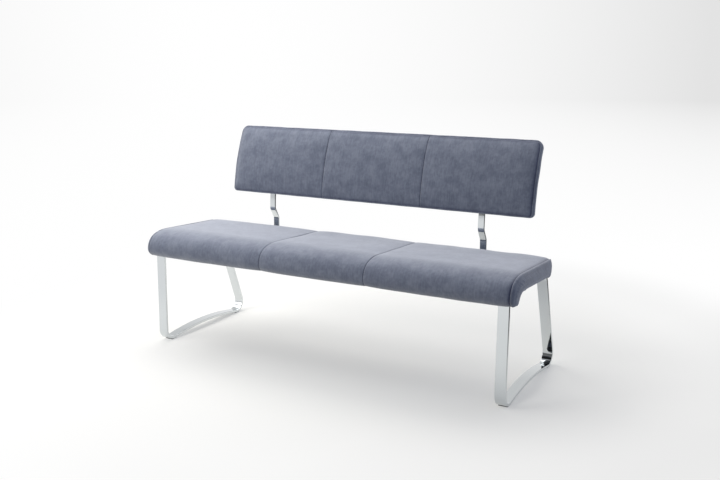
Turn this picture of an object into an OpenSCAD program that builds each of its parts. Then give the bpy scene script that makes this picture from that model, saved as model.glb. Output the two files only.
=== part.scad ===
// Upholstered bench: a raked seat with a rolled front edge and a curved backrest, on two closed hoops of
// flat steel. Right is +X, the rear is +Y and up is +Z. The origin lies on the floor, under the middle of
// the whole bench.

/* [Overall] */
// Length over the ends of the seat
bench_length = 1550; // [1300:10:1800]
// Height of the top edge of the backrest
bench_height = 855; // [840:1:880]
// Height of the highest line of the seat
seat_height = 459; // [445:1:475]
// Distance between the two cross seams of the seat and of the backrest
middle_panel = 449; // [400:1:500]

/* [Seat] */
// Depth of the seat along its slope, from the front edge to the rear face
seat_depth = 427; // [415:1:445]
// Thickness of the seat between its lining and its top
seat_thickness = 54; // [51:1:60]
// Slope of the seat down towards the rear, in degrees
seat_rake = 3.2; // [2:0.1:4]
// Radius of the rolled front edge
nose_r = 57; // [53:1:60]
// Radius of the top just before the rolled edge
brow_r = 145; // [130:1:160]
// Radius where the flat top starts to fall
crest_r = 400; // [350:10:450]
// How far the rolled edge hangs below the underside
nose_drop = 41; // [38:1:44]
// Distance from the front edge to the middle of the lip's rear corner
lip_depth = 41; // [39:1:44]
// Radius of the lip's rear corner
lip_r = 14; // [11:1:16]
// Slope of the lip's rear face, in degrees
lip_slope = 54; // [48:1:60]
// Radius where the lip runs into the underside
cove_r = 40; // [34:1:46]
// Radius of the rear edge at the top
seat_top_r = 12; // [9:1:15]
// Radius of the rear edge at the underside
seat_low_r = 14; // [11:1:16]
// Radius of the rear corners, seen from above
seat_corner_r = 32; // [28:1:36]
// Radius of the edges round the two ends
end_edge_r = 8; // [6:1:10]
// How far each panel of the seat swells between its seams
seat_crown = 3; // [0:0.5:5]
// Depth of the crease at a seam
seam_crease = 2; // [1:0.5:3]

/* [Seat inside] */
// Thickness of the cover fabric
fabric_t = 1.5; // [1:0.1:2]
// Clearance between a soft piece and what it lies on
soft_gap = 0.3; // [0.2:0.1:0.5]
// Width of the hem turned under the seat
hem_w = 22; // [16:1:28]
// Thickness of the plywood seat board
board_t = 15; // [14:1:18]
// Distance from the seat's ends to the board
board_end = 15; // [14:1:18]
// Distance from the rear face to the board
board_rear = 11; // [10:1:14]
// Distance from the front edge to the board
board_front = 36; // [34:1:40]
// Depth of the batten under the front of the board
batten_w = 20; // [16:1:22]
// Height of the batten
batten_h = 24; // [18:1:26]

/* [Hoops] */
// Width of the flat steel bar
hoop_w = 40; // [35:1:45]
// Thickness of the bar
hoop_t = 10; // [8:1:12]
// Outer radius of the four bends
hoop_r = 46; // [40:1:52]
// Distance from the seat's end to the hoop
hoop_inset = 19; // [15:1:30]
// Distance from the seat's front edge back to the front leg, at the floor
hoop_front = 25; // [23:1:30]
// How much further apart the middles of the two bends at the floor are than the seat is deep
foot_over = 6; // [0:0.5:16]
// Lean of the front leg, in degrees from upright
front_lean = 1.1; // [0.5:0.1:2]
// Slant of the rear leg, in degrees from upright
rear_slant = 20.2; // [18:0.1:22]
// How far the bottom run arches off the floor
arch_rise = 18; // [14:1:22]
// Clearance of the cut in the hanging lip round a leg
leg_gap = 1; // [0.5:0.1:2]

/* [Floor glides] */
// Thickness of a glide under the bend
glide_t = 1.5; // [1:0.1:3]
// Length of a glide along the run
glide_l = 24; // [18:1:28]
// Width of a glide across the bar
glide_w = 34; // [28:1:35]

/* [Rails] */
// Width of the steel rails under the seat
rail_w = 30; // [26:1:36]
// Height of the rails
rail_h = 20; // [16:1:24]
// Wall of the rails
rail_wall = 2; // [1.5:0.1:2.5]
// Distance from the front edge to the middle of the front rail
front_rail_in = 168; // [150:1:190]
// Distance from the rear face to the middle of the rear rail
rear_rail_in = 53; // [50:1:70]
// Distance from a rail's end cap to the hoop
rail_end_gap = 8; // [4:1:12]
// Thickness of the rails' end caps
cap_t = 2; // [1.5:0.1:3]
// Distance of the inner rail screws from the middle
inner_rail_screw_x = 160; // [120:1:200]
// Distance of the outer rail screws from the middle
outer_rail_screw_x = 610; // [530:1:620]

/* [Back supports] */
// Distance between the middles of the two supports
support_span = 958; // [900:1:1000]
// Width of the flat bar
support_w = 25; // [22:1:30]
// Thickness of the bar
support_t = 8; // [6:1:9]
// How far the S bend carries the bar to the rear
support_jog = 26; // [22:1:30]
// Slope of the S bend, in degrees from upright
jog_slope = 32; // [28:1:36]
// Distance from the bottom of the backrest down to the S bend
support_drop = 58; // [50:1:66]
// How far the bar reaches up inside the backrest
support_up = 150; // [140:1:170]
// Radius of the S bend at the middle of the bar
jog_r = 24; // [20:1:28]
// Radius of the bend under the seat at the middle of the bar
knee_r = 30; // [24:1:34]

/* [Backrest] */
// Length of the backrest
back_length = 1355; // [1250:5:1450]
// Height of the front of the backrest, along its curve
back_height = 292; // [280:1:300]
// Thickness of the backrest
back_t = 46; // [44:1:50]
// Radius of the curved front
back_r = 775; // [740:5:820]
// Lean of the bottom of the front, in degrees from upright
back_lean = 6.2; // [5:0.1:8]
// Distance from the seat's rear face to the bottom edge of the front
back_setback = 21; // [17:0.5:25]
// Radius of the top corners, seen from the front
back_top_r = 24; // [20:1:28]
// Radius of the bottom corners, seen from the front
back_low_r = 12; // [9:1:15]
// Radius of the front edge
back_edge_r = 7; // [5:1:8]
// Radius of the rear edge
back_rear_r = 12; // [9:1:14]
// How far each panel of the backrest swells
back_crown = 2.5; // [0:0.5:4]
// Depth of the supports' front faces behind the front of the backrest
bar_depth = 15; // [13:1:16]
// Thickness of the plywood back board
back_board_t = 10; // [9:1:12]
// Distance from the rim of the backrest to the board
back_board_in = 12; // [10:1:16]

/* [Fasteners] */
// Diameter of the screws under the seat
screw_d = 8; // [6:1:8]
// Diameter of their button heads
screw_head_d = 14; // [13:1:15]
// Height of their heads
screw_head_h = 4.4; // [3:0.1:5]
// Width of the hexagon sockets
socket_w = 5; // [4:1:6]
// How far the screws reach into the seat board
screw_reach = 12; // [10:1:13]
// Number of screws in each hoop
hoop_screw_count = 4; // [2:1:5]
// Diameter of the washers on the hoops
washer_d = 18; // [16:1:22]
// Thickness of the washers
washer_t = 1.6; // [1:0.1:2]
// Clearance of a screw in its hole, on the diameter
hole_gap = 0.8; // [0.4:0.1:1]
// Diameter of a tee nut's barrel
tee_d = 10.5; // [10.5:0.1:11]
// Length of a tee nut's barrel
tee_l = 11; // [8:1:12]
// Diameter of a tee nut's flange
tee_flange_d = 22; // [20:1:26]
// Thickness of a tee nut's flange
tee_flange_t = 1.6; // [1:0.1:2]
// Diameter of the screws through the back board
back_screw_d = 6; // [5:1:6]
// Diameter of their heads
back_head_d = 12; // [10:1:13]
// Height of their heads
back_head_h = 3.3; // [2.5:0.1:4]
// Height of the lower back screws above the bottom of the backrest
back_screw_low = 50; // [40:1:60]
// Height of the upper back screws above the bottom of the backrest
back_screw_high = 125; // [110:1:130]

/* [Hidden] */
$fn = 64;
half_length = bench_length / 2;
half_back = back_length / 2;
seam_x = middle_panel / 2;
// Each panel stops this short of its seam line
seam_gap = 0.15;

// Plain helpers
function lerp(a, b, t) = a + (b - a) * t;
function heading(angle) = [cos(angle), sin(angle)];
// How far a rounded edge has drawn in, at a distance from its end
function rounded_in(distance, radius) =
    distance >= radius ? 0 : radius - sqrt(radius * radius - pow(radius - distance, 2));
function reversed(list) = [for (i = [1:len(list)]) list[len(list) - i]];
// Points of an arc whose radius may change from one end to the other, from step first to the last
function arc_points(centre, r0, r1, a0, a1, steps, first = 0) =
    [for (i = [first:steps]) centre + lerp(r0, r1, i / steps) * heading(lerp(a0, a1, i / steps))];
// A panel is full in its middle and falls to nothing at both of its edges
function panel_swell(t) = 1 - pow(2 * t - 1, 4);
// The crease of a seam fades out over a short way
crease_w = 12;
function crease(distance) = distance >= crease_w ? 0 : pow(1 - distance / crease_w, 3);
// Distances from a seam at which a panel is drawn, and the parts of its length between them
seam_steps = [seam_gap, crease_w / 3, crease_w];
panel_parts = [0.12, 0.5, 0.88];

// Side outline of the seat, in its own frame: y from the front edge to the rear, z up from the lining
crest_end = 95;
brow_end = 116;
nose_tip_z = seat_thickness - crest_r - (brow_r - crest_r) * sin(crest_end)
    - (nose_r - brow_r) * sin(brow_end);
nose_c = [nose_r, nose_tip_z];
brow_c = nose_c + (nose_r - brow_r) * heading(brow_end);
crest_c = brow_c + (brow_r - crest_r) * heading(crest_end);
tuck_r = nose_drop + nose_tip_z;
tuck_c = [tuck_r, nose_tip_z];
lip_c = [lip_depth, lip_r - nose_drop];
lip_end = lip_c + lip_r * heading(270 + lip_slope);
cove_start_z = cove_r * (cos(lip_slope) - 1);
cove_y = lip_end[0] + (cove_start_z - lip_end[1]) / tan(lip_slope) + cove_r * sin(lip_slope);
cove_c = [cove_y, -cove_r];
// Where the hem turned under the front ends
hem_front = cove_y + hem_w;

// inset draws the whole outline in, swell pushes its padded stretches out, and rear brings the rear face
// forward. An arc that runs on smoothly from the one before leaves out its first point.
function seat_outline(inset, swell, rear) =
    let (padded = swell - inset, rear_y = seat_depth - rear)
    concat(
        arc_points([rear_y - seat_low_r, seat_low_r], seat_low_r - inset, seat_low_r + padded, -90, 0, 2),
        arc_points([rear_y - seat_top_r, seat_thickness - seat_top_r],
            seat_top_r + padded, seat_top_r + padded, 0, 90, 2),
        arc_points(crest_c, crest_r + padded, crest_r + padded, 90, crest_end, 1),
        arc_points(brow_c, brow_r + padded, brow_r + padded, crest_end, brow_end, 3, 1),
        arc_points(nose_c, nose_r + padded, nose_r + padded, brow_end, 180, 4, 1),
        arc_points(tuck_c, tuck_r + padded, tuck_r - inset, 180, 270, 4, 1),
        arc_points(lip_c, lip_r - inset, lip_r - inset, 270, 270 + lip_slope, 2),
        arc_points(cove_c, cove_r + inset, cove_r + inset, 90 + lip_slope, 90, 3));

// Backrest: w runs up the curved front from its bottom edge, depth is measured square into it
back_top_lean = back_lean + back_height / back_r * 180 / PI;
edge_c_r = back_r - back_edge_r;
edge_c_lean = back_top_lean - back_edge_r / edge_c_r * 180 / PI;
back_cz = bench_height - back_edge_r - edge_c_r * sin(edge_c_lean);
rear_c_r = back_r - back_t + back_rear_r;
rear_c_lean = back_top_lean - back_rear_r / rear_c_r * 180 / PI;
// Depth of the whole bench: nose, seat, setback, then the lean of the backrest to its rear top edge
nose_to_back = nose_r + seat_crown - nose_c[0] * cos(seat_rake) - nose_c[1] * sin(seat_rake)
    + seat_depth * cos(seat_rake) + back_setback;
back_overhang = back_r * cos(back_lean) - rear_c_r * cos(rear_c_lean) + back_rear_r;
bench_depth = nose_to_back + back_overhang;
back_cy = bench_depth / 2 + rear_c_r * cos(rear_c_lean) - back_rear_r;
back_c = [back_cy, back_cz];
function lean_at(w) = back_lean + w / back_r * 180 / PI;
function back_point(w, depth) = back_c + (back_r - depth) * heading(180 - lean_at(w));

// The seat's frame stands on the floor so that the nose and the backrest are equally far from the origin
seat_y0 = nose_r + seat_crown - bench_depth / 2 - nose_c[0] * cos(seat_rake) - nose_c[1] * sin(seat_rake);
seat_z0 = seat_height - crest_r - seat_crown - crest_c[1] * cos(seat_rake) + crest_c[0] * sin(seat_rake);
function seat_point(p) = [
    seat_y0 + p[0] * cos(seat_rake) + p[1] * sin(seat_rake),
    seat_z0 - p[0] * sin(seat_rake) + p[1] * cos(seat_rake)];
// The way back, from the floor's frame to the seat's
function seat_yz(p) = [
    (p[0] - seat_y0) * cos(seat_rake) - (p[1] - seat_z0) * sin(seat_rake),
    (p[0] - seat_y0) * sin(seat_rake) + (p[1] - seat_z0) * cos(seat_rake)];
module on_seat() { translate([0, seat_y0, seat_z0]) rotate([-seat_rake, 0, 0]) children(); }

// Straight pieces are drawn in the floor's side view, y then z, and carried across the bench by this
module across(x, width) {
    translate([x - width / 2, 0, 0]) rotate([90, 0, 90]) linear_extrude(width) children();
}
// A bent bar is drawn along one of its faces: each bend is [centre, radius of the bar's middle line, first
// angle, last angle, side], where side is 1 if the outer face lies away from the centre, and -1 if towards it
bend_step = 3;
slow_curve_r = 200;
slow_curve_step = 0.5;
function bend_points(b, out) =
    let (r = b[1] + b[4] * out, step = r > slow_curve_r ? slow_curve_step : bend_step)
    arc_points(b[0], r, r, b[2], b[3], ceil(abs(b[3] - b[2]) / step));
// Bends that meet share a point, which is kept once
same_point = 0.01;
function apart(points) = [for (i = [0:len(points) - 1])
    if (norm(points[i] - points[(i + len(points) - 1) % len(points)]) > same_point) points[i]];
function bar_face(bends, out) = apart([for (b = bends) each bend_points(b, out)]);
// A sector of a ring, for plates that follow one curve
ring_sides = 720;
module sector(centre, r_in, r_out, a0, a1) {
    reach = 2 * r_out;
    intersection() {
        translate(centre) difference() {
            circle(r_out, $fn = ring_sides);
            circle(r_in, $fn = ring_sides);
        }
        polygon(concat([centre], [for (a = [a0, (a0 + a1) / 2, a1]) centre + reach * heading(a)]));
    }
}

// Hoops: the middles of the four bends, in the floor's side view
hoop_x = half_length - hoop_inset - hoop_w / 2;
leg_in = hoop_r - hoop_t / 2;
low_front = [hoop_front - bench_depth / 2 + hoop_r, glide_t + hoop_r];
foot_span = seat_depth + foot_over;
low_rear = low_front + [foot_span, 0];
lean_dir = heading(90 - front_lean);
slant_dir = heading(90 + rear_slant);
seat_up = heading(90 - seat_rake);
top_front = low_front + lean_dir * (-hoop_r - seat_yz(low_front)[1]) / (lean_dir * seat_up);
top_rear = low_rear + slant_dir * (-hoop_r - seat_yz(low_rear)[1]) / (slant_dir * seat_up);
front_out = 180 - front_lean;
rear_out = rear_slant;
top_out = 90 - seat_rake;
half_span = foot_span / 2;
arch_r = (half_span * half_span / arch_rise + arch_rise) / 2 - hoop_r;
arch_turn = asin(half_span / (arch_r + hoop_r));
arch_c = [low_front[0] + half_span, glide_t + arch_rise - arch_r];

hoop_bends = [
    [low_front, leg_in, front_out, 270 + arch_turn, 1],
    [arch_c, arch_r + hoop_t / 2, 90 + arch_turn, 90 - arch_turn, -1],
    [low_rear, leg_in, 270 - arch_turn, 360 + rear_out, 1],
    [top_rear, leg_in, rear_out, top_out, 1],
    [top_front, leg_in, top_out, front_out, 1]];
module hoop_outline() {
    difference() {
        polygon(bar_face(hoop_bends, hoop_t / 2));
        polygon(bar_face(hoop_bends, -hoop_t / 2));
    }
}

// Screw places, in the seat's frame
run_rear = seat_yz(top_rear)[0];
// Distance of the rearmost hoop screw from the bend, and of the foremost one from the hem
hoop_screw_end = 18;
hem_to_screw = 8;
hoop_screw_y = [for (i = [0:hoop_screw_count - 1])
    lerp(hem_front + hem_to_screw, run_rear - hoop_screw_end, i / (hoop_screw_count - 1))];
front_rail_y = front_rail_in;
rear_rail_y = seat_depth - rear_rail_in;
hoop_places = [for (x = [-hoop_x, hoop_x], y = hoop_screw_y) [x, y]];
rail_places = [for (x = [-outer_rail_screw_x, -inner_rail_screw_x, inner_rail_screw_x, outer_rail_screw_x],
    y = [front_rail_y, rear_rail_y]) [x, y]];
support_x = support_span / 2;
support_places = [for (x = [-support_x, support_x], y = [front_rail_y, rear_rail_y]) [x, y]];
board_places = concat(hoop_places, rail_places, support_places);
board_z = fabric_t;

module hoop(x) {
    color("gainsboro") difference() {
        across(x, hoop_w) hoop_outline();
        on_seat() for (y = hoop_screw_y)
            translate([x, y, -2 * hoop_t]) cylinder(h = 3 * hoop_t, d = screw_d + hole_gap);
    }
}
module left_hoop() { hoop(-hoop_x); }
module right_hoop() { hoop(hoop_x); }

// A glide fills the wedge between the floor and the underside of a bend
module floor_glides() {
    color("dimgray") for (x = [-hoop_x, hoop_x], c = [low_front, low_rear]) difference() {
        translate([x - glide_w / 2, c[0] - glide_l / 2, 0]) cube([glide_w, glide_l, glide_t + hoop_t / 2]);
        across(x, hoop_w) hoop_outline();
    }
}

// Rails: open tubes with a plug in each end
rail_half = hoop_x - hoop_w / 2 - rail_end_gap - cap_t;
module rail(y, places) {
    color("black") on_seat() difference() {
        translate([-rail_half, y - rail_w / 2, -rail_h]) cube([2 * rail_half, rail_w, rail_h]);
        translate([-rail_half - 1, y - rail_w / 2 + rail_wall, rail_wall - rail_h])
            cube([2 * rail_half + 2, rail_w - 2 * rail_wall, rail_h - 2 * rail_wall]);
        for (p = places) if (p[1] == y)
            translate([p[0], y, -rail_h - 1]) cylinder(h = rail_h + 2, d = screw_d + hole_gap);
    }
}
module front_rail() { rail(front_rail_y, concat(rail_places, support_places)); }
module rear_rail() { rail(rear_rail_y, concat(rail_places, support_places)); }

// How far an end cap's plug reaches into its rail
plug_l = 12;
module rail_end_caps() {
    color("black") on_seat() for (side = [-1, 1], y = [front_rail_y, rear_rail_y]) {
        translate([side * (rail_half + cap_t / 2), y, -rail_h / 2])
            cube([cap_t, rail_w, rail_h], center = true);
        translate([side * (rail_half - plug_l / 2), y, -rail_h / 2])
            cube([plug_l, rail_w - 2 * rail_wall, rail_h - 2 * rail_wall], center = true);
    }
}

// Back supports: an arc inside the backrest, an S bend, an upright behind the seat and an arm under the rails
bar_r = back_r - bar_depth - support_t / 2;
bar_top_lean = back_lean + support_up / bar_r * 180 / PI;
jog_lean = back_lean - support_drop / bar_r * 180 / PI;
jog_top = back_c + bar_r * heading(180 - jog_lean);
jog_in_c = jog_top + jog_r * heading(-jog_lean);
jog_in_end = jog_in_c - jog_r * heading(jog_slope);
upright_y = jog_top[0] + support_jog;
jog_run = (upright_y - jog_in_end[0] - jog_r * (1 - cos(jog_slope))) / sin(jog_slope);
jog_out_start = jog_in_end + jog_run * heading(jog_slope - 90);
jog_out_c = jog_out_start - jog_r * heading(jog_slope);
arm_z = -rail_h - support_t / 2;
knee_y = upright_y - knee_r;
knee_z = seat_z0 + (arm_z + knee_r - (knee_y - seat_y0) * sin(seat_rake)) / cos(seat_rake);
knee_c = [knee_y, knee_z];
arm_end = seat_point([front_rail_y - rail_w / 2, arm_z]);

arm_down = -90 - seat_rake;
support_bends = [
    [back_c, bar_r, 180 - bar_top_lean, 180 - jog_lean, -1],
    [jog_in_c, jog_r, 180 - jog_lean, 180 + jog_slope, -1],
    [jog_out_c, jog_r, jog_slope, 0, 1],
    [knee_c, knee_r, 0, arm_down, 1]];
function support_face(out) = concat(bar_face(support_bends, out), [arm_end + out * heading(arm_down)]);
module support_outline() {
    polygon(concat(support_face(support_t / 2), reversed(support_face(-support_t / 2))));
}
back_screw_w = [back_screw_low, back_screw_high];
// Clearance of a thread or a pressed-in piece, on the diameter
thread_gap = 0.1;
// Carries its children to a point of the backrest, with +Z pointing square out of the rear
module on_back(x, w, depth) {
    p = back_point(w, depth);
    translate([x, p[0], p[1]]) rotate([-90 - lean_at(w), 0, 0]) children();
}
module back_support(x) {
    color("gainsboro") difference() {
        across(x, support_w) support_outline();
        on_seat() for (y = [front_rail_y, rear_rail_y])
            translate([x, y, -2 * rail_h]) cylinder(h = 2 * rail_h, d = screw_d + hole_gap);
        for (w = back_screw_w)
            on_back(x, w, bar_depth - 1) cylinder(h = support_t + 2, d = back_screw_d + thread_gap);
    }
}
module left_back_support() { back_support(-support_x); }
module right_back_support() { back_support(support_x); }

// A button-head screw that points up, its head under z = 0
socket_depth = 0.6 * screw_head_h;
back_socket_depth = 0.6 * back_head_h;
module button_screw(length) {
    difference() {
        union() {
            cylinder(h = length, d = screw_d);
            intersection() {
                translate([0, 0, -screw_head_h]) cylinder(h = screw_head_h, d = screw_head_d);
                translate([0, 0, screw_head_d - screw_head_h]) sphere(r = screw_head_d);
            }
        }
        translate([0, 0, -screw_head_h - 1]) cylinder(h = socket_depth + 1, d = socket_w / cos(30), $fn = 6);
    }
}
module screws_under_seat(places, head_z) {
    color("silver") on_seat() for (p = places)
        translate([p[0], p[1], head_z]) button_screw(screw_reach + board_z - head_z);
}
module hoop_screws() { screws_under_seat(hoop_places, -hoop_t - washer_t); }
module rail_screws() { screws_under_seat(rail_places, -rail_h); }
module support_bolts() { screws_under_seat(support_places, -rail_h - support_t); }
module hoop_washers() {
    color("silver") on_seat() for (p = hoop_places) translate([p[0], p[1], -hoop_t - washer_t]) difference() {
        cylinder(h = washer_t, d = washer_d);
        translate([0, 0, -1]) cylinder(h = washer_t + 2, d = screw_d + hole_gap / 2);
    }
}
// Tee nuts are pressed into the board from above, their flanges flush with its top
module seat_tee_nuts() {
    color("goldenrod") on_seat() for (p = board_places) translate([p[0], p[1], board_z + board_t])
        difference() {
            union() {
                translate([0, 0, -tee_flange_t]) cylinder(h = tee_flange_t, d = tee_flange_d);
                translate([0, 0, -tee_l]) cylinder(h = tee_l, d = tee_d);
            }
            translate([0, 0, -tee_l - 1]) cylinder(h = tee_l + 2, d = screw_d + thread_gap);
        }
}

board_y1 = seat_depth - board_rear;
board_half = half_length - board_end;
module seat_board() {
    color("burlywood") on_seat() difference() {
        translate([-board_half, board_front, board_z])
            cube([2 * board_half, board_y1 - board_front, board_t]);
        for (p = board_places) translate([p[0], p[1], board_z]) {
            translate([0, 0, -1]) cylinder(h = board_t + 2, d = tee_d + thread_gap);
            translate([0, 0, board_t - tee_flange_t]) cylinder(h = board_t, d = tee_flange_d + thread_gap);
        }
    }
}
// The batten carries the hanging lip between the hoops
batten_half = rail_half;
module nose_batten() {
    color("burlywood") on_seat()
        translate([-batten_half, board_front, board_z - batten_h])
            cube([2 * batten_half, batten_w, batten_h]);
}
// The lining closes the underside between the turned hems, which draw in at the rear corners
lining_y0 = hem_front + soft_gap;
lining_half = half_length - end_edge_r - soft_gap;
lining_corner = half_length - seat_corner_r;
function lining_rear(x) = [x, seat_depth - seat_rear_in(x) - seat_low_r - hem_w - soft_gap];
lining_steps = [0, 0.5, 1];
module seat_lining() {
    color([0.12, 0.12, 0.13]) on_seat() difference() {
        linear_extrude(board_z) polygon(concat(
            [[-lining_half, lining_y0], [lining_half, lining_y0]],
            [for (t = lining_steps) lining_rear(lerp(lining_half, lining_corner, t))],
            [for (t = lining_steps) lining_rear(lerp(-lining_corner, -lining_half, t))]));
        for (p = board_places)
            translate([p[0], p[1], -1]) cylinder(h = board_z + 2, d = screw_d + hole_gap);
    }
}

// A closed solid through rings of equal length. A strip's rings run out along one face and back along the
// other, so its ends are closed point by point; any other ring is closed as it is.
module loft(rings, strip = false) {
    n = len(rings[0]);
    top = (len(rings) - 1) * n;
    sides = [for (i = [0:n:top - n], j = [0:n - 1])
        let (a = i + j, b = i + (j + 1) % n, c = a + n, d = b + n) each [[a, c, d], [a, d, b]]];
    flat_ends = [[for (j = [0:n - 1]) j], [for (j = [0:n - 1]) top + n - 1 - j]];
    strip_ends = [for (j = [0:n / 2 - 2])
        let (a = j, b = j + 1, c = n - 2 - j, d = n - 1 - j)
        each [[a, b, c], [a, c, d], [top + a, top + c, top + b], [top + a, top + d, top + c]]];
    polyhedron([for (ring = rings) each ring], concat(sides, strip ? strip_ends : flat_ends));
}
function at_x(x, outline) = [for (p = outline) [x, p[0], p[1]]];

// Upholstery of the seat: x runs from the middle to the right end
function to_end(x) = half_length - abs(x);
function seat_rear_in(x) = rounded_in(to_end(x), seat_corner_r);
// The seams at the ends are drawn in less than those between the panels
end_crease = 0.5;
end_seam_x = half_length - end_edge_r;
end_panel_l = end_seam_x - seam_x;
function end_panel_swell(x) = seat_crown * panel_swell((x - seam_x) / end_panel_l)
    - seam_crease * (crease(x - seam_x) + end_crease * crease(end_seam_x - x));
function middle_swell(x) = seat_crown * panel_swell((x + seam_x) / middle_panel)
    - seam_crease * crease(seam_x - abs(x));
// A strip of cover: out along the outline from hem to hem, and back one fabric thickness inside it
function cover_strip(swell, rear) =
    let (outer = seat_outline(0, swell, rear), inner = seat_outline(fabric_t, swell, rear),
        hem_rear = seat_depth - rear - seat_low_r - hem_w)
    concat([[hem_rear, 0]], outer, [[hem_front, 0], [hem_front, fabric_t]], reversed(inner),
        [[hem_rear, fabric_t]]);
// Distances from an end seam at which the rear corner is drawn
corner_steps = [for (t = [1, 0.5, 0.25]) t * (seat_corner_r - end_edge_r)];
end_panel_x = concat(
    [for (d = seam_steps) seam_x + d],
    [for (t = panel_parts) seam_x + t * end_panel_l],
    [for (d = concat(corner_steps, [seam_gap])) end_seam_x - d]);
middle_panel_x = concat(
    [for (d = seam_steps) d - seam_x],
    [for (t = panel_parts) lerp(-seam_x, seam_x, t)],
    [for (d = reversed(seam_steps)) seam_x - d]);

// Room for a hoop's leg in the hanging lip, up to a hair under the hem
hair = 0.001;
module leg_cut(x) {
    width = hoop_w + 2 * leg_gap;
    front = seat_yz(top_front)[0] - hoop_r;
    on_seat() translate([x - width / 2, front - leg_gap, -2 * nose_drop])
        cube([width, cove_y, 2 * nose_drop - hair]);
}
module end_panel_right() {
    difference() {
        on_seat()
            loft([for (x = end_panel_x) at_x(x, cover_strip(end_panel_swell(x), seat_rear_in(x)))], true);
        leg_cut(hoop_x);
    }
}
module seat_cover_right() { color("slategray") end_panel_right(); }
module seat_cover_left() { color("slategray") mirror([1, 0, 0]) end_panel_right(); }
module seat_cover_middle() {
    color("slategray") on_seat()
        loft([for (x = middle_panel_x) at_x(x, cover_strip(middle_swell(x), 0))], true);
}

// The end cover is a cup: its inner rings run from the end inwards, then its outer rings run back out
edge_steps = [for (t = [0, 0.12, 0.45, 1]) t * end_edge_r];
end_swell = -end_crease * seam_crease;
function end_ring(step, inset) =
    let (x = half_length - step)
    at_x(x - inset * (1 - step / end_edge_r),
        seat_outline(rounded_in(step, end_edge_r) + inset, end_swell, seat_rear_in(x)));
module end_cover_right() {
    on_seat() loft(concat([for (step = edge_steps) end_ring(step, fabric_t)],
        [for (step = reversed(edge_steps)) end_ring(step, 0)]));
}
module seat_end_cover_right() { color("slategray") end_cover_right(); }
module seat_end_cover_left() { color("slategray") mirror([1, 0, 0]) end_cover_right(); }

// The foam fills the cover above the board and wraps its edges and the batten
foam_in = fabric_t + soft_gap;
function mirrored(xs) = concat([for (x = reversed(xs)) -x], xs);
foam_end_steps = [0.5 * end_edge_r, 0.15 * end_edge_r];
// The foam bends where its cover does: in the middle panel and beside its seam
foam_half_x = concat([for (t = panel_parts) if (t > 0.5) lerp(-seam_x, seam_x, t)],
    [seam_x - crease_w, seam_x, seam_x + crease_w]);
function across_middle(xs) = concat([for (x = reversed(xs)) -x], [0], xs);
foam_x = across_middle(concat(foam_half_x,
    [for (t = panel_parts) seam_x + t * end_panel_l],
    [for (d = concat(corner_steps, [0])) end_seam_x - d],
    [for (d = foam_end_steps) half_length - foam_in - d]));
function foam_swell(x) = x < seam_x ? middle_swell(x) : x <= end_seam_x ? end_panel_swell(x) : end_swell;
function foam_ring(x) =
    at_x(x, seat_outline(foam_in + rounded_in(to_end(x) - foam_in, end_edge_r), foam_swell(abs(x)),
        seat_rear_in(abs(x) + foam_in)));
// A box in the seat's frame, wider than its contents by the clearance of soft pieces
module seat_room(half_x, y0, y1, z0, z1) {
    on_seat() translate([-half_x - soft_gap, y0 - soft_gap, z0 - soft_gap])
        cube([2 * (half_x + soft_gap), y1 - y0 + 2 * soft_gap, z1 - z0 + 2 * soft_gap]);
}
module seat_foam() {
    color("khaki") difference() {
        on_seat() loft([for (x = foam_x) foam_ring(x)]);
        seat_room(board_half, board_front, board_y1, 0, board_z + board_t);
        seat_room(batten_half, board_front, board_front + batten_w, board_z - batten_h, board_z);
        for (x = [-hoop_x, hoop_x]) leg_cut(x);
    }
}

// Backrest layers
board_depth = bar_depth + support_t;
wadding_depth = board_depth + back_board_t;
// A curved plate between two depths, drawn in from the rim of the backrest
module back_plate(depth0, depth1, margin) {
    across(0, back_length - 2 * margin)
        sector(back_c, back_r - depth1, back_r - depth0,
            180 - lean_at(back_height - margin), 180 - lean_at(margin));
}
module back_board() {
    color("burlywood") difference() {
        back_plate(board_depth, wadding_depth, back_board_in);
        for (x = [-support_x, support_x], w = back_screw_w)
            on_back(x, w, board_depth - 1) cylinder(h = back_board_t + 2, d = back_screw_d + hole_gap);
    }
}
module back_screws() {
    reach = back_board_t + support_t;
    color("silver") for (x = [-support_x, support_x], w = back_screw_w) on_back(x, w, wadding_depth)
        difference() {
            union() {
                translate([0, 0, -reach]) cylinder(h = reach, d = back_screw_d);
                cylinder(h = back_head_h, d = back_head_d);
            }
            translate([0, 0, back_head_h - back_socket_depth])
                cylinder(h = back_head_h, d = socket_w / cos(30), $fn = 6);
        }
}

// A padded sheet between two grids of points, the first one in front; rows climb and columns run to +X
module slab(front, back) {
    columns = len(front);
    rows = len(front[0]);
    total = columns * rows;
    faces = [for (i = [0:columns - 2], j = [0:rows - 2])
        let (a = i * rows + j, b = a + rows, c = b + 1, d = a + 1)
        each [[a, d, c], [a, c, b], [total + a, total + c, total + d], [total + a, total + b, total + c]]];
    rim = concat([for (i = [0:columns - 1]) i * rows],
        [for (j = [1:rows - 1]) (columns - 1) * rows + j],
        [for (i = [1:columns - 1]) (columns - 1 - i) * rows + rows - 1],
        [for (j = [1:rows - 2]) rows - 1 - j]);
    walls = [for (k = [0:len(rim) - 1])
        let (a = rim[k], b = rim[(k + 1) % len(rim)])
        each [[a, b, total + b], [a, total + b, total + a]]];
    polyhedron(concat([for (column = front) each column], [for (column = back) each column]),
        concat(faces, walls));
}
function back_end(x) = half_back - abs(x);
function rim_low(x) = rounded_in(back_end(x), back_low_r);
function rim_high(x) = back_height - rounded_in(back_end(x), back_top_r);
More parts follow.
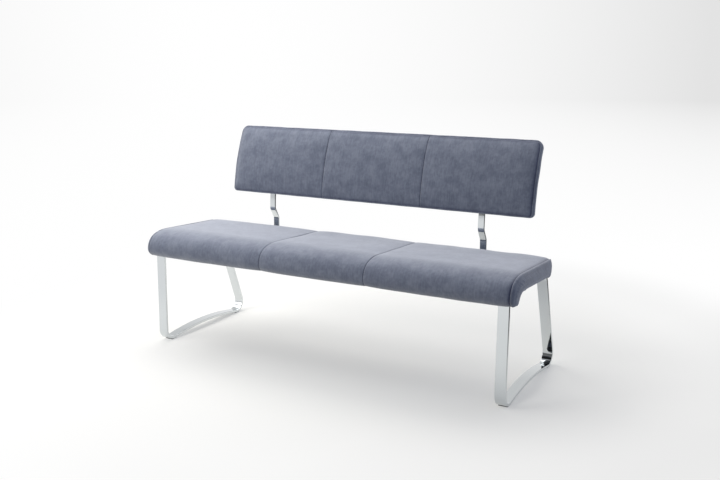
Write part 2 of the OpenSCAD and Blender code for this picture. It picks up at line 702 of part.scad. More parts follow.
// Heights of a column's points, with the given margins kept at the bottom and the top
column_parts = [0.33, 0.67];
function column_w(x, margins) =
    let (low = rim_low(x), high = rim_high(x), inner = margins[len(margins) - 1])
    concat([for (m = margins) low + m],
        [for (t = column_parts) lerp(low + inner, high - inner, t)],
        [for (m = reversed(margins)) high - m]);
function rim_distance(x, w) = min(back_end(x), w - rim_low(x), rim_high(x) - w);
function back_panel_swell(x) =
    let (side_t = (abs(x) - seam_x) / (half_back - seam_x), middle_t = (x + seam_x) / middle_panel,
        t = abs(x) < seam_x ? middle_t : side_t)
    back_crown * panel_swell(t) - seam_crease * crease(abs(abs(x) - seam_x));
function face_swell(x, w) = back_panel_swell(x)
    * panel_swell(max(0, min(1, (w - rim_low(x)) / (rim_high(x) - rim_low(x)))));
function front_depth(x, w) = rounded_in(rim_distance(x, w), back_edge_r) - face_swell(x, w);
rear_crown = 1.2;
function rear_depth(x, w) = back_t - rounded_in(rim_distance(x, w), back_rear_r)
    + rear_crown * panel_swell(w / back_height) * panel_swell(back_end(x) / back_length);
function front_grid(xs, margins, inner) = [for (x = xs) [for (w = column_w(x, margins))
    let (p = back_point(w, front_depth(x, w) + inner)) [x, p[0], p[1]]]];
function rear_grid(xs, margins, inner) = [for (x = xs) [for (w = column_w(x, margins))
    let (p = back_point(w, rear_depth(x, w) - inner)) [x, p[0], p[1]]]];
function flat_grid(xs, margins, depth) = [for (x = xs) [for (w = column_w(x, margins))
    let (p = back_point(w, depth)) [x, p[0], p[1]]]];

// The front panels end at a seam just round the front edge
front_seam_in = 1.7;
padded_rim = 24;
front_margins = [front_seam_in, back_edge_r / 2, back_edge_r, padded_rim];
back_panel_x = concat([for (d = seam_steps) seam_x + d],
    [(seam_x + half_back) / 2],
    [for (d = [back_top_r, back_top_r / 2, back_edge_r, back_edge_r / 2, front_seam_in]) half_back - d]);
module front_panel(xs) { slab(front_grid(xs, front_margins, 0), front_grid(xs, front_margins, fabric_t)); }
module back_cover_right() { color("slategray") front_panel(back_panel_x); }
module back_cover_left() { color("slategray") mirror([1, 0, 0]) front_panel(back_panel_x); }
module back_cover_middle() { color("slategray") front_panel(middle_panel_x); }

// Rear cover and wadding share one set of columns
rear_seam_in = 7;
rear_rim = 40;
function rear_columns(margin) = mirrored(concat([for (t = [0.2, 0.55, 0.82]) t * half_back],
    [for (d = [back_top_r, 2 * rear_seam_in, margin]) half_back - d]));
module back_rear_cover() {
    xs = rear_columns(rear_seam_in);
    margins = [rear_seam_in, 2 * rear_seam_in, rear_rim];
    color("slategray") slab(rear_grid(xs, margins, fabric_t), rear_grid(xs, margins, 0));
}
// Room for the head of a back screw in the wadding
head_room_sides = 16;
module head_room() {
    translate([0, 0, -1])
        cylinder(h = back_head_h + 1 + soft_gap, d = back_head_d + 2 * soft_gap, $fn = head_room_sides);
}
module back_wadding() {
    margin = rear_seam_in + foam_in;
    xs = rear_columns(margin);
    margins = [margin, margin + rear_seam_in, rear_rim];
    color("whitesmoke") difference() {
        slab(flat_grid(xs, margins, wadding_depth), rear_grid(xs, margins, foam_in));
        for (x = [-support_x, support_x], w = back_screw_w) on_back(x, w, wadding_depth) head_room();
    }
}
module back_foam() {
    rim_in = foam_in + 0.5;
    xs = across_middle(concat(foam_half_x, [(seam_x + half_back) / 2],
        [for (d = [back_top_r, back_top_r / 2, back_edge_r, rim_in]) half_back - d]));
    margins = [rim_in, back_edge_r, padded_rim];
    color("khaki") difference() {
        slab(front_grid(xs, margins, foam_in), flat_grid(xs, margins, wadding_depth - soft_gap));
        back_plate(board_depth - soft_gap, wadding_depth + 1, back_board_in - soft_gap);
        for (x = [-support_x, support_x]) bar_room(x);
    }
}
// Room for a support inside the padding, with a little to spare past its end, in degrees
bar_end_gap = 0.05;
module bar_room(x) {
    across(x, support_w + 2 * soft_gap)
        sector(back_c, back_r - board_depth - soft_gap, back_r - bar_depth + soft_gap,
            180 - bar_top_lean - bar_end_gap, 180 - jog_lean);
}

// The slit in the edge band that a support passes through
slit_reach = 10;
module band_slit(x) {
    ends = [for (w = [-slit_reach, slit_reach]) back_point(w, bar_depth + support_t / 2)];
    side = (support_t / 2 + soft_gap) * heading(180 - back_lean);
    across(x, support_w + 2 * soft_gap)
        polygon([ends[0] + side, ends[0] - side, ends[1] - side, ends[1] + side]);
}

// Edge band: one closed ring of fabric round the rim, from the front seam to the rear seam
band_bulge = 1.5;
function rim_corner(cx, cw, r, a0, steps) =
    [for (i = [0:steps]) let (a = a0 + 90 * i / steps) [[cx, cw] + r * heading(a), heading(a)]];
rim_path = concat(
    rim_corner(half_back - back_top_r, back_height - back_top_r, back_top_r, 0, 5),
    rim_corner(back_top_r - half_back, back_height - back_top_r, back_top_r, 90, 5),
    rim_corner(back_low_r - half_back, back_low_r, back_low_r, 180, 3),
    rim_corner(half_back - back_low_r, back_low_r, back_low_r, 270, 3));
// Offset out of the rim and depth: round the front edge from its seam, over the side, round the rear edge
band_front_turn = acos(1 - (front_seam_in - 2 * seam_gap) / back_edge_r);
band_rear_turn = acos(1 - (rear_seam_in - 2 * seam_gap) / back_rear_r);
function band_line(inset) = concat(
    [for (a = [-band_front_turn, 0]) [-back_edge_r, back_edge_r] + (back_edge_r - inset) * heading(a)],
    [for (t = [0.4, 0.6]) [band_bulge - inset, t * back_t]],
    [for (a = [0, band_rear_turn / 2, band_rear_turn])
        [-back_rear_r, back_t - back_rear_r] + (back_rear_r - inset) * heading(a)]);
band = concat(band_line(0), reversed(band_line(fabric_t)));
function band_ring(place) = [for (b = band)
    let (xw = place[0] + b[0] * place[1], p = back_point(xw[1], b[1])) [xw[0], p[0], p[1]]];
module back_border() {
    rings = [for (place = rim_path) band_ring(place)];
    n = len(band);
    count = len(rings);
    faces = [for (i = [0:count - 1], j = [0:n - 1])
        let (next = (i + 1) % count, a = i * n + j, b = i * n + (j + 1) % n, c = next * n + j,
            d = next * n + (j + 1) % n)
        each [[a, c, d], [a, d, b]]];
    color("slategray") difference() {
        polyhedron([for (ring = rings) each ring], faces);
        for (x = [-support_x, support_x]) band_slit(x);
    }
}

left_hoop();
right_hoop();
floor_glides();
front_rail();
rear_rail();
rail_end_caps();
left_back_support();
right_back_support();
hoop_screws();
hoop_washers();
rail_screws();
support_bolts();
seat_tee_nuts();
seat_board();
nose_batten();
seat_foam();
seat_cover_left();
seat_cover_middle();
seat_cover_right();
seat_end_cover_left();
seat_end_cover_right();
seat_lining();
back_board();
back_foam();
back_wadding();
back_cover_left();
back_cover_middle();
back_cover_right();
back_border();
back_rear_cover();
back_screws();
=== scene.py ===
"""Upholstered bench: fabric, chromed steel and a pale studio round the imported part."""

import logging
import math
from dataclasses import dataclass, field
from enum import Enum

import bpy
import numpy as np
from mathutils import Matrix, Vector


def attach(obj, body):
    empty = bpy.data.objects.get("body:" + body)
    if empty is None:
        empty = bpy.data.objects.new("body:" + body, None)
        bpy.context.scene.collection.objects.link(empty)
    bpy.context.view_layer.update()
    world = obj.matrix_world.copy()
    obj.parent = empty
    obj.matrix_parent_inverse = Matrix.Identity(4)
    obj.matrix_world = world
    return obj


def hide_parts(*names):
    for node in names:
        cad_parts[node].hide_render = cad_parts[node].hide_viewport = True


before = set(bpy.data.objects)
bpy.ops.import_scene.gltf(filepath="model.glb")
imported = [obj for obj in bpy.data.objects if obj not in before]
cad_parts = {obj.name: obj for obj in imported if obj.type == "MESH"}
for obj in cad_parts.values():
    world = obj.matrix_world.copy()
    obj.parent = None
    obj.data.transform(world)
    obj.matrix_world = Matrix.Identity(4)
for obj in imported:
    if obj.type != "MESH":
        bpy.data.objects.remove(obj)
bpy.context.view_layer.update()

LOG = logging.getLogger("bench")
MM = 0.001


# Small helpers
def linear(hex_colour: str) -> tuple[float, float, float, float]:
    """Turns an sRGB hex colour into linear RGBA.

    Args:
        hex_colour: A colour such as "#8A91A0".

    Returns:
        Red, green, blue and an alpha of 1, as a shader socket takes them.
    """
    parts = [int(hex_colour[i:i + 2], 16) / 255 for i in (1, 3, 5)]
    red, green, blue = [c / 12.92 if c <= 0.04045 else ((c + 0.055) / 1.055) ** 2.4 for c in parts]
    return red, green, blue, 1.0


def per_metre(size_mm: float) -> float:
    """Scale of a pattern whose marks are size_mm apart, in metres' texture space."""
    return 1000.0 / size_mm


def heading(degrees: float) -> np.ndarray:
    """Unit vector at an angle, anticlockwise from the first axis."""
    turn = math.radians(degrees)
    return np.array([math.cos(turn), math.sin(turn)])


def arc(centre: np.ndarray, radius: float, start: float, end: float, steps: int) -> np.ndarray:
    """Points of an arc after its first one.

    Args:
        centre: Middle of the arc.
        radius: Its radius.
        start: First angle in degrees.
        end: Last angle in degrees.
        steps: How many points follow the first.

    Returns:
        An array of steps points.
    """
    turns = np.radians(np.linspace(start, end, steps + 1)[1:])
    return centre + radius * np.stack([np.cos(turns), np.sin(turns)], 1)


def straight(start: np.ndarray, end: np.ndarray, steps: int) -> np.ndarray:
    """Points of a straight run after its first one."""
    shares = np.linspace(0, 1, steps + 1)[1:, None]
    return start + (end - start) * shares


def rounded_in(distance: np.ndarray, radius: float) -> np.ndarray:
    """How far a rounded edge has drawn in, at a distance from its end."""
    short = np.clip(radius - distance, 0, radius)
    return radius - np.sqrt(radius * radius - short * short)


def smooth(t: np.ndarray) -> np.ndarray:
    """Eases from 0 to 1 and stays there on both sides."""
    t = np.clip(t, 0, 1)
    return t * t * (3 - 2 * t)


def full(t: np.ndarray) -> np.ndarray:
    """A padded panel across its width: full in the middle, nothing at both edges."""
    return 1 - np.abs(2 * np.clip(t, 0, 1) - 1) ** 4


def ripple(place: np.ndarray, wavelength: float, seed: int) -> np.ndarray:
    """Irregular waves along a line.

    Args:
        place: Distances along the line.
        wavelength: Usual distance between two crests, in the same unit.
        seed: Chooses the waves; the same seed gives the same ones.

    Returns:
        Heights from about -1 to 1.
    """
    rng = np.random.default_rng(seed)
    height = np.zeros_like(place, dtype=float)
    usual_most = 3.0
    for share in (0.62, 0.83, 1.0, 1.27, 1.71):
        height += np.sin(2 * math.pi * place / (wavelength * share) + rng.uniform(0, 2 * math.pi))
    return height / usual_most


def dents(u: np.ndarray, v: np.ndarray, size: float, seed: int) -> np.ndarray:
    """Soft hollows and swells over a surface, about size across, from about -1 to 1."""
    rng = np.random.default_rng(seed)
    height = np.zeros(np.broadcast(u, v).shape)
    wave_count = 7
    usual_most = 3.5
    for _ in range(wave_count):
        turn = rng.uniform(0, math.pi)
        length = size * rng.uniform(0.7, 1.6)
        run = u * math.cos(turn) + v * math.sin(turn)
        height += np.sin(2 * math.pi * run / length + rng.uniform(0, 2 * math.pi))
    return height / usual_most


def spaced(start: float, end: float, step: float, near: tuple[float, ...]) -> np.ndarray:
    """Places along a run, close together near both ends.

    Args:
        start: First end of the run.
        end: Last end of the run.
        step: Largest distance between places in the middle.
        near: Distances from each end that get a place.

    Returns:
        Rising places from start + near[0] to end - near[0].
    """
    low = [start + d for d in near]
    high = [end - d for d in reversed(near)]
    count = max(2, math.ceil((high[0] - low[-1]) / step))
    middle = np.linspace(low[-1], high[0], count + 1)[1:-1]
    return np.array([*low, *middle, *high])


def slab_faces(columns: int, rows: int) -> list[tuple[int, ...]]:
    """Faces of a sheet with two sides: a front grid, then a back grid of the same shape."""
    total = columns * rows
    faces: list[tuple[int, ...]] = []
    for i in range(columns - 1):
        for j in range(rows - 1):
            a = i * rows + j
            quad = (a, a + rows, a + rows + 1, a + 1)
            faces.append(quad)
            faces.append(tuple(total + k for k in reversed(quad)))
    rim = [i * rows for i in range(columns)]
    rim += [(columns - 1) * rows + j for j in range(1, rows)]
    rim += [(columns - 1 - i) * rows + rows - 1 for i in range(1, columns)]
    rim += [rows - 1 - j for j in range(1, rows - 1)]
    for a, b in zip(rim, rim[1:] + rim[:1]):
        faces.append((a, total + a, total + b, b))
    return faces


def tube_faces(columns: int, rows: int, closed: bool = False) -> list[tuple[int, ...]]:
    """Faces round a row of closed rings; closed joins the last ring to the first."""
    faces: list[tuple[int, ...]] = []
    for i in range(columns if closed else columns - 1):
        after = (i + 1) % columns
        for j in range(rows):
            up = (j + 1) % rows
            faces.append((i * rows + j, after * rows + j, after * rows + up, i * rows + up))
    return faces


# Name of the points' value that says how dark the painted seam shade is, partly for nap compressed into
# a seam
NAP_AND_SHADE_MARK = "pressed_nap_and_seam_shade"


def make_piece(name: str, points: np.ndarray, faces: list[tuple[int, ...]]) -> bpy.types.Object:
    """Makes a smooth-shaded mesh object.

    Args:
        name: Name of the piece.
        points: Its vertices in millimetres, in the part's frame.
        faces: Vertex numbers of each face.

    Returns:
        The new object, linked to the scene.
    """
    mesh = bpy.data.meshes.new(name)
    mesh.from_pydata((points * MM).tolist(), [], faces)
    mesh.validate()
    mesh.polygons.foreach_set("use_smooth", [True] * len(mesh.polygons))
    piece = bpy.data.objects.new(name, mesh)
    bpy.context.scene.collection.objects.link(piece)
    return piece


def mark_nap_and_seam_shade(piece: bpy.types.Object, nap_and_shade: np.ndarray) -> None:
    """Notes on a cover where it is painted darker along its seams: painted shade of the seams' valleys,
    partly nap compressed there.

    Args:
        piece: The cover.
        nap_and_shade: For each of its points, from 0 for none to 1 for the darkest painted seam shade,
            where the nap folds into a seam.
    """
    mark = piece.data.attributes.new(NAP_AND_SHADE_MARK, "FLOAT", "POINT")
    mark.data.foreach_set("value", np.clip(nap_and_shade, 0.0, 1.0).ravel().tolist())


def coordinates(mesh: bpy.types.Mesh) -> np.ndarray:
    """Vertices of a mesh in millimetres, one row each."""
    flat = np.empty(len(mesh.vertices) * 3, np.float64)
    mesh.vertices.foreach_get("co", flat)
    return flat.reshape(-1, 3) / MM


@dataclass(frozen=True)
class CoverCloth:
    """How a cover behaves in the short simulation that swells it over its foam."""

    quality: int = 6
    mass: float = 0.35
    stretch: float = 12.0
    shear: float = 6.0
    bend: float = 5.0
    frames: int = 20


COVER_CLOTH = CoverCloth()


def fill_out(piece: bpy.types.Object, held: np.ndarray, most: float,
             pressure: float = 4.0) -> np.ndarray:
    """Swells a cover over its foam with a short cloth simulation.

    Args:
        piece: The cover, a mesh; it is left as it was.
        held: True for each vertex that is sewn or stapled down.
        most: The furthest that a point may move, in millimetres.
        pressure: Outward pressure of the foam.

    Returns:
        How far each vertex moves, in millimetres, one row each.
    """
    rest = coordinates(piece.data)
    group = piece.vertex_groups.new(name="held")
    group.add(np.nonzero(held)[0].tolist(), 1.0, "REPLACE")
    cloth = piece.modifiers.new("foam pressure", "CLOTH")
    settings = cloth.settings
    settings.quality = COVER_CLOTH.quality
    settings.mass = COVER_CLOTH.mass
    settings.tension_stiffness = COVER_CLOTH.stretch
    settings.compression_stiffness = COVER_CLOTH.stretch
    settings.shear_stiffness = COVER_CLOTH.shear
    settings.bending_stiffness = COVER_CLOTH.bend
    settings.vertex_group_mass = "held"
    settings.use_pressure = True
    settings.uniform_pressure_force = pressure
    settings.effector_weights.gravity = 0.0
    cloth.point_cache.frame_start = 1
    cloth.point_cache.frame_end = COVER_CLOTH.frames
    scene = bpy.context.scene
    for moment in range(1, COVER_CLOTH.frames + 1):
        scene.frame_set(moment)
    swollen = piece.evaluated_get(bpy.context.evaluated_depsgraph_get())
    move = coordinates(swollen.data) - rest
    piece.modifiers.remove(cloth)
    piece.vertex_groups.remove(group)
    scene.frame_set(1)
    # Keeps a point that didn't move from a division by nought
    tiny = 1e-9
    length = np.linalg.norm(move, axis=1, keepdims=True)
    return move * (most * np.tanh(length / most) / np.maximum(length, tiny))


def relaxed(move: np.ndarray, rounds: int = 6) -> np.ndarray:
    """Evens out a grid of movements, so that the foam's firmness shows and no stray crease does.

    Args:
        move: Movements as columns, rows and the three axes; the outer ones stay.
        rounds: How often each point takes the mean of itself and its neighbours.

    Returns:
        The evened movements.
    """
    move = move.copy()
    own_share = 0.5
    for _ in range(rounds):
        inner = move[1:-1, 1:-1]
        around = move[2:, 1:-1] + move[:-2, 1:-1] + move[1:-1, 2:] + move[1:-1, :-2]
        move[1:-1, 1:-1] = own_share * inner + (1 - own_share) / 4 * around
    return move


# Sewing that the seat and the backrest share

# Spacing of the puckers along a seam
PUCKER_MM = 17.0
# Distances from a seam at which a panel gets a row of points
SEAM_MARKS = (0.2, 1.0, 2.2, 4.0, 6.5, 10.0)


def seam_hollow(distance: float, tuck: float, fall: float) -> float:
    """Depth of a seam at a distance from it: a narrow tuck and a wider fall round it."""
    tuck_mm = 1.1
    fall_mm = 5.5
    return tuck * math.exp(-distance / tuck_mm) + fall * math.exp(-distance / fall_mm)


def nap_and_shade_fall(distance: np.ndarray | float, most: float, width: float) -> np.ndarray | float:
    """How dark the painted seam shade is at a distance from a seam, partly compressed nap, most in the
    seam itself.
    """
    return most * np.exp(-(distance / width) ** 2)


def beside_seam(distance: float) -> float:
    """Strength of the puckers at a distance from a seam: none in it, most just beside it."""
    fade_mm = 11.0
    rise_mm = 3.0
    return math.exp(-distance / fade_mm) * (1 - math.exp(-distance / rise_mm))


@dataclass(frozen=True)
class Seam:
    """One of a panel's two seams, seen from a place on the panel."""

    number: int
    distance: float
    at_end: bool


@dataclass
class SewnPanel:
    """One of a row of panels along the bench, between two seams across it."""

    name: str
    nodes: tuple[str, ...]
    start: float
    end: float
    seed: int

    @property
    def row_end(self) -> float:
        """Distance from the middle of the bench at which the row of panels ends."""
        raise NotImplementedError

    def seams(self, x: float) -> tuple[Seam, Seam]:
        """The panel's two seams, seen from a place on it."""
        slack = 1.0
        return (Seam(0, x - self.start, abs(self.start) > self.row_end - slack),
                Seam(1, self.end - x, abs(self.end) > self.row_end - slack))

    def across(self, x: float) -> float:
        """How full the panel is at a place: 1 in its middle and nothing at both seams."""
        return float(full(np.array((x - self.start) / (self.end - self.start))))

    def fill_copy(self, points: np.ndarray, faces: list[tuple[int, ...]], held: np.ndarray,
                  most: float) -> np.ndarray:
        """Fills out a coarse copy of the panel, which is then thrown away.

        Args:
            points: The copy's points.
            faces: The copy's faces.
            held: True for each point that is sewn down, as columns and rows.
            most: The furthest that a point may move.

        Returns:
            The movements, evened out, as columns, rows and the three axes.
        """
        copy = make_piece(self.name + "_trial", points, faces)
        move = fill_out(copy, held.ravel(), most)
        bpy.data.objects.remove(copy, do_unlink=True)
        return relaxed(move.reshape(*held.shape, 3))


# Materials
def add_node(tree: bpy.types.NodeTree, kind: str, inputs: dict[str | int, object] | None = None,
             **settings: object) -> bpy.types.Node:
    """Adds a shader node with its settings, values and links.

    Args:
        tree: The material's or world's node tree.
        kind: Blender's name of the node's type, without "ShaderNode".
        inputs: For each socket, by name or number, a value or the output socket that feeds it.
        **settings: Properties of the node itself.

    Returns:
        The new node.
    """
    node = tree.nodes.new("ShaderNode" + kind)
    for name, value in settings.items():
        setattr(node, name, value)
    for name, value in (inputs or {}).items():
        socket = node.inputs[name]
        if isinstance(value, bpy.types.NodeSocket):
            tree.links.new(value, socket)
        else:
            socket.default_value = value
    return node


def new_material(name: str) -> tuple[bpy.types.Material, bpy.types.NodeTree]:
    """An empty node material and its tree."""
    material = bpy.data.materials.new(name)
    material.use_nodes = True
    material.node_tree.nodes.clear()
    return material, material.node_tree


def blend_colour(tree: bpy.types.NodeTree, share: bpy.types.NodeSocket, low: str, high: str,
                 start: float, end: float) -> bpy.types.NodeSocket:
    """A colour that runs from low to high as share runs from start to end."""
    ramp = add_node(tree, "ValToRGB", {0: share})
    ramp.color_ramp.elements[0].position = start
    ramp.color_ramp.elements[0].color = linear(low)
    ramp.color_ramp.elements[1].position = end
    ramp.color_ramp.elements[1].color = linear(high)
    return ramp.outputs[0]


@dataclass(frozen=True)
class SuedeMicrofibre:
    """Polyester microfibre with a brushed, suede-like face.

    The nap lies this way and that, so the eye sees cloudy patches a few centimetres wide, faint
    streaks along the roll, no thread at all, and a pale bloom where the surface turns away.
    """

    name: str = "brushed_microfibre"
    shade: str = "#6B7181"
    light: str = "#7E8492"
    streak_shade: str = "#E6E8EC"
    streak_light: str = "#FFFFFF"
    # Colour that the painted seam shade multiplies in: shade of the seams' valleys, partly compressed
    # nap, tinted blue
    nap_and_seam_shade: str = "#7F88AC"
    bloom: str = "#F2F2F4"
    cloud_mm: float = 42.0
    patch_mm: float = 11.0
    patch_share: float = 0.35
    # The real pile is under half a millimetre; it is drawn at 2 mm so that it shows in the render
    pile_mm: float = 2.0
    pile_depth: float = 1.2
    # Streaks run to the front and up the backrest, so their pattern is stretched those ways
    streak_mm: float = 4.5
    streak_stretch: tuple[float, float, float] = (1.0, 0.14, 0.14)
    streak_share: float = 0.8
    # Values of the patterns between which the darker colour turns into the lighter one
    nap_turns: tuple[float, float] = (0.39, 0.61)
    streak_turns: tuple[float, float] = (0.35, 0.6)

    def build(self) -> bpy.types.Material:
        """Makes the node material."""
        material, tree = new_material(self.name)
        place = add_node(tree, "TexCoord").outputs["Object"]
        cloud = add_node(tree, "TexNoise", {"Vector": place, "Scale": per_metre(self.cloud_mm),
                                            "Detail": 3.0, "Roughness": 0.55})
        patch = add_node(tree, "TexNoise", {"Vector": place, "Scale": per_metre(self.patch_mm),
                                            "Detail": 2.0, "Roughness": 0.5})
        both = add_node(tree, "Mix", {"Factor": self.patch_share, 2: cloud.outputs[0],
                                      3: patch.outputs[0]})
        nap = blend_colour(tree, both.outputs[0], self.shade, self.light, *self.nap_turns)
        along = add_node(tree, "Mapping", {"Vector": place, "Scale": self.streak_stretch})
        streak = add_node(tree, "TexNoise", {"Vector": along.outputs[0], "Detail": 2.0,
                                             "Scale": per_metre(self.streak_mm), "Roughness": 0.6})
        tone = blend_colour(tree, streak.outputs[0], self.streak_shade, self.streak_light,
                            *self.streak_turns)
        colour = add_node(tree, "Mix", {0: self.streak_share, 6: nap, 7: tone}, data_type="RGBA",
                          blend_type="MULTIPLY")
        # Painted shade along the seams, from the points' value: darker and bluer in the seams' valleys,
        # partly compressed nap
        mark = add_node(tree, "Attribute", attribute_name=NAP_AND_SHADE_MARK)
        dark = add_node(tree, "Mix", {0: mark.outputs["Fac"], 6: colour.outputs[2],
                                      7: linear(self.nap_and_seam_shade)},
                        data_type="RGBA", blend_type="MULTIPLY")
        pile = add_node(tree, "TexNoise", {"Vector": place, "Scale": per_metre(self.pile_mm),
                                           "Detail": 3.0, "Roughness": 0.7})
        relief = add_node(tree, "Mix", {"Factor": 0.5, 2: pile.outputs[0], 3: patch.outputs[0]})
        bump = add_node(tree, "Bump", {"Height": relief.outputs[0], "Strength": 0.35,
                                       "Distance": self.pile_depth * MM})
        rough = add_node(tree, "MapRange", {"Value": patch.outputs[0], "To Min": 0.82,
                                            "To Max": 0.98})
        surface = add_node(tree, "BsdfPrincipled", {
            "Base Color": dark.outputs[2], "Roughness": rough.outputs[0], "Sheen Weight": 0.95,
            "Sheen Roughness": 0.5, "Sheen Tint": linear(self.bloom), "Specular IOR Level": 0.1,
            "Normal": bump.outputs[0]})
        add_node(tree, "OutputMaterial", {"Surface": surface.outputs[0]})
        return material


@dataclass(frozen=True)
class PolishedMetal:
    """Plated or bare metal with a polished or tumbled face.

    Polishing leaves slow waves a few centimetres long in flat bar, so straight reflections bend a
    little, and a haze of fine wipe marks that only shows as a slight change of gloss.
    """

    name: str
    shade: str
    roughness: float
    wave_mm: float = 45.0
    wave_strength: float = 0.08
    wave_depth: float = 1.0
    haze_mm: float = 18.0
    # The clearest and the dullest haze, as shares of the roughness
    haze_span: tuple[float, float] = (0.7, 1.4)

    def build(self) -> bpy.types.Material:
        """Makes the node material."""
        material, tree = new_material(self.name)
        place = add_node(tree, "TexCoord").outputs["Object"]
        wave = add_node(tree, "TexNoise", {"Vector": place, "Scale": per_metre(self.wave_mm),
                                           "Detail": 1.0})
        haze = add_node(tree, "TexNoise", {"Vector": place, "Scale": per_metre(self.haze_mm),
                                           "Detail": 4.0, "Roughness": 0.65})
        rough = add_node(tree, "MapRange", {"Value": haze.outputs[0], "From Min": 0.3, "From Max": 0.7,
                                            "To Min": self.roughness * self.haze_span[0],
                                            "To Max": self.roughness * self.haze_span[1]})
        bump = add_node(tree, "Bump", {"Height": wave.outputs[0], "Strength": self.wave_strength,
                                       "Distance": self.wave_depth * MM})
        surface = add_node(tree, "BsdfPrincipled", {
            "Base Color": linear(self.shade), "Metallic": 1.0, "Roughness": rough.outputs[0],
            "Normal": bump.outputs[0]})
        add_node(tree, "OutputMaterial", {"Surface": surface.outputs[0]})
        return material


@dataclass(frozen=True)
class GrainedCoat:
    """An even finish with a fine grain: paint, moulded plastic, foam, wood veneer or nonwoven.

    The eye sees one colour that shifts slightly over the grain, and the grain's own relief.
    """

    name: str
    shade: str
    light: str
    roughness: float
    grain_mm: float
    relief: float = 0.3
    stretch: tuple[float, float, float] = (1.0, 1.0, 1.0)
    # Depth of the grain as a share of its width, and roughness in the grain as a share of the rest
    depth_share: float = 0.1
    smooth_share: float = 0.85
    grain_turns: tuple[float, float] = (0.35, 0.65)

    def build(self) -> bpy.types.Material:
        """Makes the node material."""
        material, tree = new_material(self.name)
        place = add_node(tree, "TexCoord").outputs["Object"]
        along = add_node(tree, "Mapping", {"Vector": place, "Scale": self.stretch})
        grain = add_node(tree, "TexNoise", {"Vector": along.outputs[0], "Detail": 4.0,
                                            "Scale": per_metre(self.grain_mm), "Roughness": 0.6})
        colour = blend_colour(tree, grain.outputs[0], self.shade, self.light, *self.grain_turns)
        bump = add_node(tree, "Bump", {"Height": grain.outputs[0], "Strength": self.relief,
                                       "Distance": self.grain_mm * self.depth_share * MM})
        rough = add_node(tree, "MapRange", {"Value": grain.outputs[0], "To Max": self.roughness,
                                            "To Min": self.roughness * self.smooth_share})
        surface = add_node(tree, "BsdfPrincipled", {
            "Base Color": colour, "Roughness": rough.outputs[0], "Normal": bump.outputs[0]})
        add_node(tree, "OutputMaterial", {"Surface": surface.outputs[0]})
        return material


class Finish(Enum):
    """The finishes of the bench, each with what it is made of."""

    FABRIC = SuedeMicrofibre()
    # Chromium over polished flat bar: bright, slightly blue, with a mirror's clear reflections
    CHROME = PolishedMetal("polished_chrome", "#D2D6D8", 0.05)
    # Zinc plate on screws and washers: paler than steel and only half glossy
    ZINC = PolishedMetal("bright_zinc", "#B9BCBB", 0.3, wave_mm=6.0, haze_mm=4.0)
    # Epoxy paint on the hidden rails: black with a slight orange peel
    PAINT = GrainedCoat("black_epoxy_paint", "#141516", "#1B1C1D", 0.45, 1.5)
    # Injection-moulded polypropylene of glides and plugs
    PLASTIC = GrainedCoat("moulded_polypropylene", "#17181A", "#222326", 0.55, 0.9)
    # Spunbonded dust cover: matt black with a fine random fleece
    NONWOVEN = GrainedCoat("spunbonded_dust_cover", "#101113", "#232427", 0.95, 1.4, 0.8)
    # Birch plywood of the boards, grain along the bench
    PLYWOOD = GrainedCoat("birch_plywood", "#B8945F", "#D8BC8A", 0.7, 3.0, 0.4, (0.06, 1.0, 1.0))
    # Pine of the batten
    PINE = GrainedCoat("sawn_pine", "#C79E5E", "#E2C48D", 0.75, 4.0, 0.5, (0.05, 1.0, 1.0))

    def material(self) -> bpy.types.Material:
        """The finish's node material, made once."""
        return bpy.data.materials.get(self.value.name) or self.value.build()


def dress(piece: bpy.types.Object, finish: Finish, slot: str, *nodes: str) -> None:
    """Gives a piece its finish, hangs it under the root, hides the solids that it stands for and logs
    them.

    Args:
        piece: The new piece.
        finish: What it is made of.
        slot: The record's material slot; not used.
        *nodes: The CAD nodes that it stands for.
    """
    piece.data.materials.clear()
    piece.data.materials.append(finish.material())
    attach(piece, "root")
    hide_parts(*nodes)
    LOG.info("%s: %d faces, stands for %s", piece.name, len(piece.data.polygons), ", ".join(nodes))


